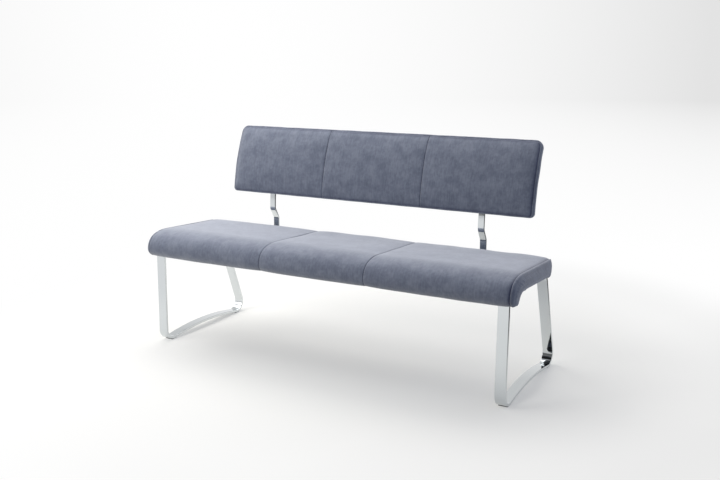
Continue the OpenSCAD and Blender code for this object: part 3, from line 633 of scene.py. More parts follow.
# Shared geometry
@dataclass(frozen=True)
class BenchSizes:
    """Driving sizes of the bench in millimetres and degrees, as the solids have them."""

    length: float = 1550.0
    height: float = 855.0
    seat_height: float = 459.0
    middle_panel: float = 449.0
    seat_depth: float = 427.0
    seat_thickness: float = 54.0
    seat_rake: float = 3.2
    nose_r: float = 57.0
    brow_r: float = 145.0
    crest_r: float = 400.0
    crest_end: float = 95.0
    brow_end: float = 116.0
    nose_drop: float = 41.0
    lip_depth: float = 41.0
    lip_r: float = 14.0
    lip_slope: float = 54.0
    cove_r: float = 40.0
    seat_top_r: float = 12.0
    seat_low_r: float = 14.0
    seat_corner_r: float = 32.0
    end_edge_r: float = 8.0
    seat_crown: float = 3.0
    hem_w: float = 22.0
    fabric_t: float = 1.5
    back_length: float = 1355.0
    back_height: float = 292.0
    back_t: float = 46.0
    back_r: float = 775.0
    back_lean: float = 6.2
    back_setback: float = 21.0
    back_top_r: float = 24.0
    back_low_r: float = 12.0
    back_edge_r: float = 7.0
    back_rear_r: float = 12.0
    hoop_w: float = 40.0
    hoop_t: float = 10.0
    hoop_r: float = 46.0
    hoop_inset: float = 19.0
    hoop_front: float = 25.0
    foot_span: float = 433.0
    front_lean: float = 1.1
    rear_slant: float = 20.2
    arch_rise: float = 18.0
    glide_t: float = 1.5
    leg_gap: float = 1.0
    rail_h: float = 20.0
    rail_w: float = 30.0
    front_rail_in: float = 168.0
    support_span: float = 958.0
    support_w: float = 25.0
    support_t: float = 8.0
    support_jog: float = 26.0
    jog_slope: float = 32.0
    support_drop: float = 58.0
    support_up: float = 150.0
    jog_r: float = 24.0
    knee_r: float = 30.0
    bar_depth: float = 15.0

    @property
    def half(self) -> float:
        """Half of the bench's length."""
        return self.length / 2

    @property
    def half_back(self) -> float:
        """Half of the backrest's length."""
        return self.back_length / 2

    @property
    def seam_x(self) -> float:
        """Distance of the two cross seams from the middle."""
        return self.middle_panel / 2

    @property
    def end_seam_x(self) -> float:
        """Distance of the seams at the ends of the seat from the middle."""
        return self.half - self.end_edge_r

    @property
    def rake(self) -> float:
        """Slope of the seat, in radians."""
        return math.radians(self.seat_rake)

    @property
    def hoop_x(self) -> float:
        """Distance of a hoop's middle from the middle of the bench."""
        return self.half - self.hoop_inset - self.hoop_w / 2

    @property
    def nose_c(self) -> np.ndarray:
        """Centre of the rolled front edge, in the seat's frame."""
        tip = (self.seat_thickness - self.crest_r
               - (self.brow_r - self.crest_r) * math.sin(math.radians(self.crest_end))
               - (self.nose_r - self.brow_r) * math.sin(math.radians(self.brow_end)))
        return np.array([self.nose_r, tip])

    @property
    def brow_c(self) -> np.ndarray:
        """Centre of the curve above the rolled edge."""
        return self.nose_c + (self.nose_r - self.brow_r) * heading(self.brow_end)

    @property
    def crest_c(self) -> np.ndarray:
        """Centre of the curve where the flat top starts to fall."""
        return self.brow_c + (self.brow_r - self.crest_r) * heading(self.crest_end)

    @property
    def lip_c(self) -> np.ndarray:
        """Centre of the round end of the hanging lip."""
        return np.array([self.lip_depth, self.lip_r - self.nose_drop])

    @property
    def lip_end(self) -> np.ndarray:
        """Where the lip's round end turns into its slope."""
        return self.lip_c + self.lip_r * heading(270 + self.lip_slope)

    @property
    def cove_c(self) -> np.ndarray:
        """Centre of the hollow behind the hanging lip."""
        slope = math.radians(self.lip_slope)
        lip_y, lip_z = self.lip_end
        start_z = self.cove_r * (math.cos(slope) - 1)
        run = lip_y + (start_z - lip_z) / math.tan(slope) + self.cove_r * math.sin(slope)
        return np.array([run, -self.cove_r])

    @property
    def top_lean(self) -> float:
        """Lean of the top of the backrest, in degrees."""
        return self.back_lean + math.degrees(self.back_height / self.back_r)

    @property
    def rear_edge_y(self) -> float:
        """Distance, in depth, from the backrest's centre to its rearmost point at the top."""
        rear_r = self.back_r - self.back_t + self.back_rear_r
        rear_lean = self.top_lean - math.degrees(self.back_rear_r / rear_r)
        return rear_r * math.cos(math.radians(rear_lean)) - self.back_rear_r

    @property
    def nose_front(self) -> float:
        """Distance, in depth, from the seat's frontmost point to its origin."""
        along = self.nose_c @ [math.cos(self.rake), math.sin(self.rake)]
        return self.nose_r + self.seat_crown - along

    @property
    def depth(self) -> float:
        """Depth of the whole bench."""
        front = self.nose_front + self.seat_depth * math.cos(self.rake) + self.back_setback
        over = self.back_r * math.cos(math.radians(self.back_lean)) - self.rear_edge_y
        return front + over

    @property
    def back_c(self) -> np.ndarray:
        """Centre of the backrest's curve, in the side view."""
        edge_r = self.back_r - self.back_edge_r
        edge_lean = self.top_lean - math.degrees(self.back_edge_r / edge_r)
        return np.array([
            self.depth / 2 + self.rear_edge_y,
            self.height - self.back_edge_r - edge_r * math.sin(math.radians(edge_lean))])

    @property
    def seat_origin(self) -> np.ndarray:
        """Origin of the seat's frame, in the side view."""
        crest_up = self.crest_c @ [-math.sin(self.rake), math.cos(self.rake)]
        return np.array([self.nose_front - self.depth / 2,
                         self.seat_height - self.crest_r - self.seat_crown - crest_up])

    @property
    def hoop_low_front(self) -> np.ndarray:
        """Middle of a hoop's front bend at the floor, in the side view."""
        return np.array([self.hoop_front - self.depth / 2 + self.hoop_r, self.glide_t + self.hoop_r])

    @property
    def hoop_top_front(self) -> np.ndarray:
        """Middle of a hoop's front bend under the seat, in the side view."""
        return self.under_seat(self.hoop_low_front, heading(90 - self.front_lean))

    def under_seat(self, foot: np.ndarray, leg: np.ndarray) -> np.ndarray:
        """Middle of the bend where a leg that rises from a foot meets the seat."""
        up = heading(90 - self.seat_rake)
        return foot + leg * (-self.hoop_r - self.seat_yz(foot)[1]) / (leg @ up)

    def seat_point(self, y: np.ndarray, z: np.ndarray) -> tuple[np.ndarray, np.ndarray]:
        """Carries a point of the seat's frame to the floor's."""
        across = math.cos(self.rake)
        down = math.sin(self.rake)
        origin = self.seat_origin
        return origin[0] + y * across + z * down, origin[1] - y * down + z * across

    def seat_yz(self, point: np.ndarray) -> np.ndarray:
        """Carries a point of the floor's side view to the seat's frame."""
        across = math.cos(self.rake)
        down = math.sin(self.rake)
        y, z = point - self.seat_origin
        return np.array([y * across - z * down, y * down + z * across])

    def back_point(self, w: np.ndarray, depth: np.ndarray) -> tuple[np.ndarray, np.ndarray]:
        """A point of the backrest: w climbs its curved front, depth goes square into it."""
        turn = math.pi - math.radians(self.back_lean) - w / self.back_r
        reach = self.back_r - depth
        return self.back_c[0] + reach * np.cos(turn), self.back_c[1] + reach * np.sin(turn)


SIZES = BenchSizes()


# The seat

# A stretch of the seat's outline, with the share of the padding's swell at its end
Stretch = tuple[np.ndarray, float]


@dataclass
class SeatRing:
    """The seat's side outline as one closed ring, drawn finer by a whole factor.

    It starts under the hanging lip, goes round the nose, over the top and down the rear, and
    comes back along the underside. Point k of the upper half lies over point -k of the lower.
    """

    fineness: int = 1
    # The underside lies this much higher between the hems, where the lining and the board close it
    lining_rise: float = 2.5
    # From this depth the ends draw in round the seat's rear corners
    taper_from: float = 320.0
    points: np.ndarray = field(init=False)
    outward: np.ndarray = field(init=False)
    padded: np.ndarray = field(init=False)
    along: np.ndarray = field(init=False)

    def __post_init__(self) -> None:
        """Draws the ring and works out its directions."""
        before, lining, after = self.stretches()
        lines = [*before, lining, *after]
        ends = np.cumsum([len(line) for line, _ in lines])
        shares = [share for _, share in lines]
        self.points = np.roll(np.concatenate([line for line, _ in lines]), 1, axis=0)
        padded = np.interp(np.arange(1, ends[-1] + 1), [0, *ends], [shares[-1], *shares])
        self.padded = np.roll(padded, 1)
        ahead = np.roll(self.points, -1, axis=0) - np.roll(self.points, 1, axis=0)
        ahead /= np.linalg.norm(ahead, axis=1, keepdims=True)
        self.outward = np.stack([-ahead[:, 1], ahead[:, 0]], 1)
        steps = np.linalg.norm(self.points - np.roll(self.points, 1, axis=0), axis=1)
        self.along = np.cumsum(steps) - steps[0]
        under = slice(ends[len(before) - 1] + 1, ends[len(before)])
        self.points[under, 1] += self.lining_rise

    def stretches(self) -> tuple[list[Stretch], Stretch, list[Stretch]]:
        """The stretches of the outline.

        Returns:
            Those before the lining, the one under the lining, and those after it.
        """
        s = SIZES
        f = self.fineness
        low_z = -s.nose_drop
        tuck_r = s.nose_drop + s.nose_c[1]
        tuck_c = np.array([tuck_r, s.nose_c[1]])
        pole = np.array([(tuck_r + s.lip_depth) / 2, low_z])
        rear = s.seat_depth
        rear_top = np.array([rear, s.seat_thickness - s.seat_top_r])
        rear_middle = np.array([rear, (s.seat_low_r + s.seat_thickness - s.seat_top_r) / 2])
        rear_low = np.array([rear, s.seat_low_r])
        top_start = np.array([s.crest_c[0], s.seat_thickness])
        top_end = np.array([rear - s.seat_top_r, s.seat_thickness])
        low_start = np.array([rear - s.seat_low_r, 0])
        hem_rear = np.array([rear - s.seat_low_r - s.hem_w, 0])
        hem_front = np.array([s.cove_c[0] + s.hem_w, 0])
        cove_start = 90 + s.lip_slope
        before = [
            (straight(pole, np.array([tuck_r, low_z]), f), 0.9),
            (arc(tuck_c, tuck_r, 270, 180, 9 * f), 1.1),
            (arc(s.nose_c, s.nose_r, 180, s.brow_end, 11 * f), 1.0),
            (arc(s.brow_c, s.brow_r, s.brow_end, s.crest_end, 8 * f), 1.0),
            (arc(s.crest_c, s.crest_r, s.crest_end, 90, 5 * f), 1.0),
            (straight(top_start, top_end, 43 * f), 1.6),
            (arc(top_end - [0, s.seat_top_r], s.seat_top_r, 90, 0, 5 * f), 1.5),
            (straight(rear_top, rear_middle, 3 * f), 1.2),
            (straight(rear_middle, rear_low, 2 * f), 1.0),
            (arc(low_start + [0, s.seat_low_r], s.seat_low_r, 0, -90, 5 * f), 0.1),
            (straight(low_start, hem_rear, 4 * f), 0.0)]
        lining = (straight(hem_rear, hem_front, 47 * f), 0.0)
        cove_low = s.cove_c + s.cove_r * heading(cove_start)
        after = [
            (straight(hem_front, np.array([s.cove_c[0], 0]), 5 * f), 0.0),
            (arc(s.cove_c, s.cove_r, 90, cove_start, 9 * f), 0.0),
            (straight(cove_low, s.lip_end, 6 * f), 0.1),
            (arc(s.lip_c, s.lip_r, 270 + s.lip_slope, 270, 6 * f), 0.6),
            (straight(np.array([s.lip_depth, low_z]), pole, f), 0.8)]
        return before, lining, after

    @property
    def count(self) -> int:
        """Number of points."""
        return len(self.points)

    def at(self, x: float, height: np.ndarray) -> np.ndarray:
        """The ring at a place along the bench.

        Args:
            x: Distance from the middle of the bench.
            height: How far each point stands out from the plain outline.

        Returns:
            The points in the part's frame, one row each.
        """
        s = SIZES
        drawn_in = rounded_in(np.array(s.half - abs(x)), s.seat_corner_r)
        taper_run = s.seat_depth - s.seat_top_r - self.taper_from
        taper = smooth((self.points[:, 0] - self.taper_from) / taper_run)
        y = self.points[:, 0] - drawn_in * taper + self.outward[:, 0] * height
        z = self.points[:, 1] + self.outward[:, 1] * height
        world_y, world_z = s.seat_point(y, z)
        return np.stack([np.full(self.count, x), world_y, world_z], 1)


def cap_faces(first: int, count: int, inner: bool) -> list[tuple[int, ...]]:
    """Closes a seat ring with strips from its upper to its lower half.

    Args:
        first: Number of the ring's first vertex.
        count: Number of its points.
        inner: True for the end that faces -X.

    Returns:
        The faces.
    """
    faces: list[tuple[int, ...]] = []
    half = count // 2
    for k in range(half):
        low_next = (count - k) % count
        quad = (first + k, first + low_next, first + count - k - 1, first + k + 1)
        quad = tuple(dict.fromkeys(quad))
        faces.append(tuple(reversed(quad)) if inner else quad)
    return faces


def capped_tube(columns: int, rows: int) -> list[tuple[int, ...]]:
    """Faces of a row of seat rings, closed at both ends."""
    return [*tube_faces(columns, rows), *cap_faces(0, rows, True),
            *cap_faces((columns - 1) * rows, rows, False)]


@dataclass
class SeatPanel(SewnPanel):
    """One panel of the seat, closed over the foam inside it."""

    stuffing: float = 4.2
    crown: float = 2.0
    seam_tuck: float = 1.6
    seam_fall: float = 0.6
    # The seam with the end also has a deeper, wider fall, and end_tight scales all of its depth
    end_fall: float = 3.0
    end_fall_mm: float = 12.0
    end_tight: float = 1.0
    # Share of a seam's depth that it has where there is no padding
    bare_share: float = 0.35
    pucker: float = 0.25
    dent: float = 0.55
    dent_mm: float = 150.0
    most_move: float = 2.5
    # Painted shade along the end's seam and the seams between panels, partly compressed nap: its depth
    # and over what width
    end_nap_and_shade: float = 1.0
    end_nap_and_shade_mm: float = 8.0
    seam_nap_and_shade: float = 0.35
    seam_nap_and_shade_mm: float = 2.5
    coarse_step: float = 8.5
    coarse_marks: tuple[float, ...] = (0.2, 3.0, 7.0)
    fine_step: float = 5.0

    @property
    def row_end(self) -> float:
        """Distance from the middle of the bench at which the seat's panels end."""
        return SIZES.end_seam_x

    def height(self, ring: SeatRing, x: float) -> np.ndarray:
        """How far the cover stands out from the plain outline, before the foam fills it."""
        return ring.padded * (self.stuffing + self.crown * self.across(x))

    def sewing(self, ring: SeatRing, x: float) -> np.ndarray:
        """Height of the seams' tuck, of their puckers and of the foam's soft dents."""
        move = np.zeros(ring.count)
        hold = self.bare_share + (1 - self.bare_share) * ring.padded
        for seam in self.seams(x):
            tuck = seam_hollow(seam.distance, self.seam_tuck, self.seam_fall)
            if seam.at_end:
                fall = self.end_fall * math.exp(-seam.distance / self.end_fall_mm)
                tuck = self.end_tight * (tuck + fall)
            waves = ripple(ring.along, PUCKER_MM, self.seed + seam.number)
            move -= tuck * hold
            move += self.pucker * waves * beside_seam(seam.distance) * ring.padded
        place = np.full(ring.count, x)
        move += self.dent * dents(place, ring.along, self.dent_mm, self.seed + 7) * ring.padded
        return move

    def nap_and_shade(self, ring: SeatRing, x: float) -> np.ndarray:
        """How dark the painted seam shade is, partly compressed nap: fully at the ends' seams, a little
        at the others.
        """
        marks = np.zeros(ring.count)
        for seam in self.seams(x):
            if seam.at_end:
                marks += nap_and_shade_fall(seam.distance, self.end_nap_and_shade, self.end_nap_and_shade_mm)
            else:
                marks += nap_and_shade_fall(seam.distance, self.seam_nap_and_shade, self.seam_nap_and_shade_mm)
        return marks * ring.padded

    def simulate(self, ring: SeatRing, places: np.ndarray) -> np.ndarray:
        """Fills out a coarse copy of the panel.

        Args:
            ring: The coarse outline.
            places: Its places along the bench.

        Returns:
            The movements, as columns, points of the ring and the three axes.
        """
        points = np.concatenate([ring.at(x, self.height(ring, x)) for x in places])
        sewn_share = 0.5
        held = np.tile(ring.padded < sewn_share, (len(places), 1))
        held[[0, -1], :] = True
        faces = capped_tube(len(places), ring.count)
        return self.fill_copy(points, faces, held, self.most_move)

    def build(self) -> bpy.types.Object:
        """Makes the panel: a coarse one to simulate, then the fine one with its sewing.

        Returns:
            The finished piece.
        """
        coarse = SeatRing(1)
        coarse_x = spaced(self.start, self.end, self.coarse_step, self.coarse_marks)
        move = self.simulate(coarse, coarse_x)
        fine = SeatRing(2)
        fine_x = spaced(self.start, self.end, self.fine_step, SEAM_MARKS)
        places = np.arange(fine.count) / fine.fineness
        corners = np.arange(coarse.count + 1)
        closed = np.concatenate([move, move[:, :1]], axis=1)
        rings = []
        for x in fine_x:
            column = [[np.interp(x, coarse_x, closed[:, j, axis]) for j in corners]
                      for axis in range(3)]
            shift = np.stack([np.interp(places, corners, line) for line in column], 1)
            rings.append(fine.at(x, self.height(fine, x) + self.sewing(fine, x)) + shift)
        piece = make_piece(self.name, np.concatenate(rings), capped_tube(len(fine_x), fine.count))
        # Painted shade along the seams, partly compressed nap
        mark_nap_and_seam_shade(piece, np.concatenate([self.nap_and_shade(fine, x) for x in fine_x]))
        return piece


@dataclass
class SeatEnd:
    """The cover of one end of the seat: a rounded edge and a bulging flat face."""

    name: str
    nodes: tuple[str, ...]
    side: int
    seed: int
    stuffing: float = 4.2
    least_share: float = 1.2
    # Turn of each ring round the edge in degrees, and how far the seam draws it in
    edge: tuple[tuple[float, float], ...] = (
        (0.0, 3.0), (0.0, 1.6), (8.0, 0.7), (20.0, 0.3), (36.0, 0.0), (54.0, 0.0), (72.0, 0.0),
        (90.0, 0.0))
    edge_start: float = 0.25
    reach: float = 13.0
    # How far the flat face bulges, how soon from its upper and lower edge, and the greatest
    # height, as a share of the seat's thickness, that adds to the bulge
    swell: float = 5.0
    swell_rise: float = 1.4
    swell_span: float = 1.3
    hang: float = 5.5
    # Height and spacing of the gathers, the share of it in the seam, and over how many rings of
    # the edge it fades
    gather: float = 0.9
    gather_mm: float = 16.0
    seam_gather: float = 0.3
    gather_fade: float = 3.0
    # Height of the pleats on the flat face, and the share of its height over which they fade
    pleat: float = 1.3
    pleat_fade: float = 0.4
    # How tightly the seam is drawn in
    tight: float = 1.0
    # Painted shade along the seam, partly compressed nap, and painted shade in the hollows of the
    # pleats
    edge_nap_and_shade: float = 0.7
    fold_shade: float = 0.5
    fold_fade: float = 0.5
    # Number of rings over which the seam's painted shade fades
    nap_and_shade_fade: float = 2.5
    # Middle and width of the stretch that is gathered most, and the share that the rest has
    nose: tuple[float, float] = (20.0, 70.0)
    plain_gather: float = 0.35
    inner_rows: int = 11
    most_move: float = 3.0
    pressure: float = 2.0

    def gathered(self, ring: SeatRing) -> np.ndarray:
        """How strongly the seam is gathered: most of all round the tight curve of the nose."""
        middle, width = self.nose
        near = np.exp(-((ring.points[:, 0] - middle) / width) ** 2)
        return self.plain_gather + (1 - self.plain_gather) * near

    def edge_rings(self, ring: SeatRing) -> list[np.ndarray]:
        """The rings round the edge, from inside the seam out to the flat face."""
        below = np.clip(-ring.outward[:, 1], 0, 1) * (1 - np.clip(ring.padded, 0, 1))
        waves = ripple(ring.along, self.gather_mm, self.seed) * ring.padded
        rings = []
        for step, (degrees, draw) in enumerate(self.edge):
            turn = math.radians(degrees)
            x = SIZES.end_seam_x + self.edge_start + self.reach * math.sin(turn)
            fade = math.exp(-step / self.gather_fade) if step else self.seam_gather
            height = (self.stuffing * np.maximum(ring.padded, self.least_share * math.sin(turn))
                      - self.reach * (1 - math.cos(turn)) - self.tight * draw
                      + self.hang * math.sin(turn) * below
                      + self.gather * waves * fade * self.gathered(ring))
            # Past the end of the solids, the outline stays as it is just inside it
            inside = 0.01
            rings.append(ring.at(min(x, SIZES.half - inside), height))
            rings[-1][:, 0] = x
        return rings

    def flat_face(self, outer: np.ndarray, pleats: np.ndarray, shares: np.ndarray) -> np.ndarray:
        """Points of the flat face between the upper and the lower half of the outer ring.

        Args:
            outer: The outermost ring.
            pleats: Height of the pleats at each of its points.
            shares: Where the rows are, from the upper half down to the lower.

        Returns:
            The points, row by row, each row from the top down.
        """
        half = len(outer) // 2
        upper = outer[1:half]
        lower = outer[:half:-1]
        inner = upper[:, None, :] + (lower - upper)[:, None, :] * shares[None, :, None]
        depth = np.minimum(1, np.sin(math.pi * shares)[None, :] * self.swell_rise)
        span = np.linalg.norm(upper - lower, axis=1)[:, None] / SIZES.seat_thickness
        lengthwise = full(np.linspace(0, 1, half + 1)[1:-1])[:, None]
        inner[:, :, 0] += self.swell * depth * np.minimum(span, self.swell_span) * lengthwise
        folds = pleats[1:half, None] * np.exp(-shares / self.pleat_fade)[None, :]
        inner[:, :, 0] += self.pleat * folds
        return inner.reshape(-1, 3)

    def faces(self, columns: int, count: int) -> list[tuple[int, ...]]:
        """Faces of the edge, of the cap inside it and of the flat face.

        Args:
            columns: Number of rings round the edge.
            count: Number of points in a ring.

        Returns:
            The faces.
        """
        faces = tube_faces(columns, count) + cap_faces(0, count, True)
        base = (columns - 1) * count
        start = columns * count
        half = count // 2
        rows = self.inner_rows
        lines = [[base] * (rows + 2)]
        for k in range(1, half):
            row = [start + (k - 1) * rows + m for m in range(rows)]
            lines.append([base + k, *row, base + count - k])
        lines.append([base + half] * (rows + 2))
        for near, far in zip(lines, lines[1:]):
            for m in range(rows + 1):
                quad = tuple(dict.fromkeys((near[m], near[m + 1], far[m + 1], far[m])))
                if len(quad) > 2:
                    faces.append(quad)
        return faces

    def build(self) -> bpy.types.Object:
        """Makes the end cover, fills it out and gathers its seam.

        Returns:
            The finished piece.
        """
        ring = SeatRing(2)
        rings = self.edge_rings(ring)
        shares = np.linspace(0, 1, self.inner_rows + 2)[1:-1]
        pleats = ripple(ring.along, self.gather_mm, self.seed + 2) * self.gathered(ring)
        points = np.concatenate([*rings, self.flat_face(rings[-1], pleats, shares)])
        faces = self.faces(len(rings), ring.count)
        if self.side < 0:
            points = points * [-1, 1, 1]
            faces = [tuple(reversed(face)) for face in faces]
        piece = make_piece(self.name, points, faces)
        held = np.zeros(len(points), bool)
        sewn_rings = 3
        held[:sewn_rings * ring.count] = True
        move = fill_out(piece, held, self.most_move, self.pressure)
        piece.data.vertices.foreach_set("co", ((points + move) * MM).ravel())
        piece.data.update()
        # Painted shade along the seam round the edge, partly compressed nap, and in the hollows of the
        # pleats on the flat face
        fade = np.exp(-np.arange(len(rings)) / self.nap_and_shade_fade)[:, None]
        round_edge = fade * np.clip(ring.padded, 0, 1)
        hollows = np.clip(-pleats[1:ring.count // 2, None], 0, 1)
        folds = self.fold_shade * hollows * np.exp(-shares / self.fold_fade)[None, :]
        mark_nap_and_seam_shade(piece, np.concatenate([self.edge_nap_and_shade * round_edge.ravel(), folds.ravel()]))
        return piece


def upholster(part: "SewnPanel | SeatEnd | BackBorder") -> bpy.types.Object:
    """Makes a padded piece of the cover and dresses it.

    Args:
        part: What is to be made.

    Returns:
        The piece.
    """
    piece = part.build()
    dress(piece, Finish.FABRIC, "upholstery", *part.nodes)
    return piece


@dataclass
class Seat:
    """The seat's cover: three sewn panels, two ends and the lining underneath."""

    fill: float = 0.85
    # How tightly the left end's seam is drawn in: loosely, because the photograph shows no line there
    loose: float = 0.25
    # The room for a leg starts under the lip, ends a little inside the foam, and reaches this far
    # behind the hollow of the lip
    room_z: tuple[float, float] = (-60.0, 1.0)
    room_behind: float = 3.0
    # The lining: its room to the hems, its two faces' heights, its waves and its grid
    lining_gap: float = 0.5
    lining_z: tuple[float, float] = (0.1, 1.2)
    lining_wave: float = 0.25
    lining_wave_mm: float = 60.0
    lining_most: float = 0.2
    lining_grid: tuple[int, int] = (220, 40)

    def build(self) -> None:
        """Makes and dresses all of the seat's pieces."""
        s = SIZES
        # The left panel and end get no painted seam shade
        panels = [
            SeatPanel("seat_panel_left", ("seat_cover_left",), -s.end_seam_x, -s.seam_x, 11,
                      end_tight=self.loose, end_nap_and_shade=0.0),
            SeatPanel("seat_panel_middle", ("seat_cover_middle", "seat_foam"), -s.seam_x, s.seam_x, 23),
            SeatPanel("seat_panel_right", ("seat_cover_right",), s.seam_x, s.end_seam_x, 37)]
        ends = [SeatEnd("seat_end_left", ("seat_end_cover_left",), -1, 51, tight=self.loose, edge_nap_and_shade=0.0),
                SeatEnd("seat_end_right", ("seat_end_cover_right",), 1, 67)]
        pieces = [upholster(part) for part in (*panels, *ends)]
        for piece, side in ((pieces[0], -1), (pieces[2], 1)):
            self.cut_for_leg(piece, side)
        self.lining()

    def cut_for_leg(self, piece: bpy.types.Object, side: int) -> None:
        """Opens the hanging lip round the leg that passes up into it.

        Args:
            piece: The panel that is cut.
            side: -1 for the left leg and 1 for the right one.
        """
        s = SIZES
        hoop_x = side * s.hoop_x
        front = s.seat_yz(s.hoop_top_front)[0] - s.hoop_r - s.leg_gap
        rear = s.cove_c[0] + self.room_behind
        low, high = self.room_z
        corners = []
        for x in (hoop_x - s.hoop_w / 2 - s.leg_gap, hoop_x + s.hoop_w / 2 + s.leg_gap):
            for y, z in ((front, low), (front, high), (rear, high), (rear, low)):
                corners.append([x, *s.seat_point(y, z)])
        faces = [(0, 3, 2, 1), (4, 5, 6, 7), (0, 1, 5, 4), (1, 2, 6, 5), (2, 3, 7, 6), (3, 0, 4, 7)]
        cutter = make_piece("leg_room", np.array(corners, float), faces)
        cutter.data.materials.append(Finish.FABRIC.material())
        cut = piece.modifiers.new("leg room", "BOOLEAN")
        cut.object = cutter
        cut.operation = "DIFFERENCE"
        cut.solver = "EXACT"
        result = bpy.data.meshes.new_from_object(
            piece.evaluated_get(bpy.context.evaluated_depsgraph_get()))
        piece.modifiers.remove(cut)
        piece.data = result
        bpy.data.objects.remove(cutter, do_unlink=True)
        LOG.info("%s: opened for the leg, %d faces", piece.name, len(result.polygons))

    def lining(self) -> None:
        """Makes the dust cover under the seat, a sheet of cloth stretched between the hems."""
        s = SIZES
        gap = self.lining_gap
        front = s.cove_c[0] + s.hem_w + gap
        rear = s.seat_depth - s.seat_low_r - s.hem_w - gap
        xs = np.linspace(-s.end_seam_x + gap, s.end_seam_x - gap, self.lining_grid[0])
        ys = np.linspace(0, 1, self.lining_grid[1])
        grids = []
        for z in self.lining_z:
            columns = []
            for x in xs:
                place = np.full(len(ys), x)
                last = rear - rounded_in(np.array(s.half - abs(x)), s.seat_corner_r)
                y = front + (last - front) * ys
                lift = self.lining_wave * dents(place, y, self.lining_wave_mm, 5) * full(ys)
                world_y, world_z = s.seat_point(y, z + np.minimum(lift, self.lining_most))
                columns.append(np.stack([place, world_y, world_z], 1))
            grids.append(np.concatenate(columns))
        faces = [tuple(reversed(face)) for face in slab_faces(len(xs), len(ys))]
        piece = make_piece("seat_dust_cover", np.concatenate(grids), faces)
        piece.data.polygons.foreach_set("use_smooth", [False] * len(piece.data.polygons))
        dress(piece, Finish.NONWOVEN, "lining", "seat_lining")


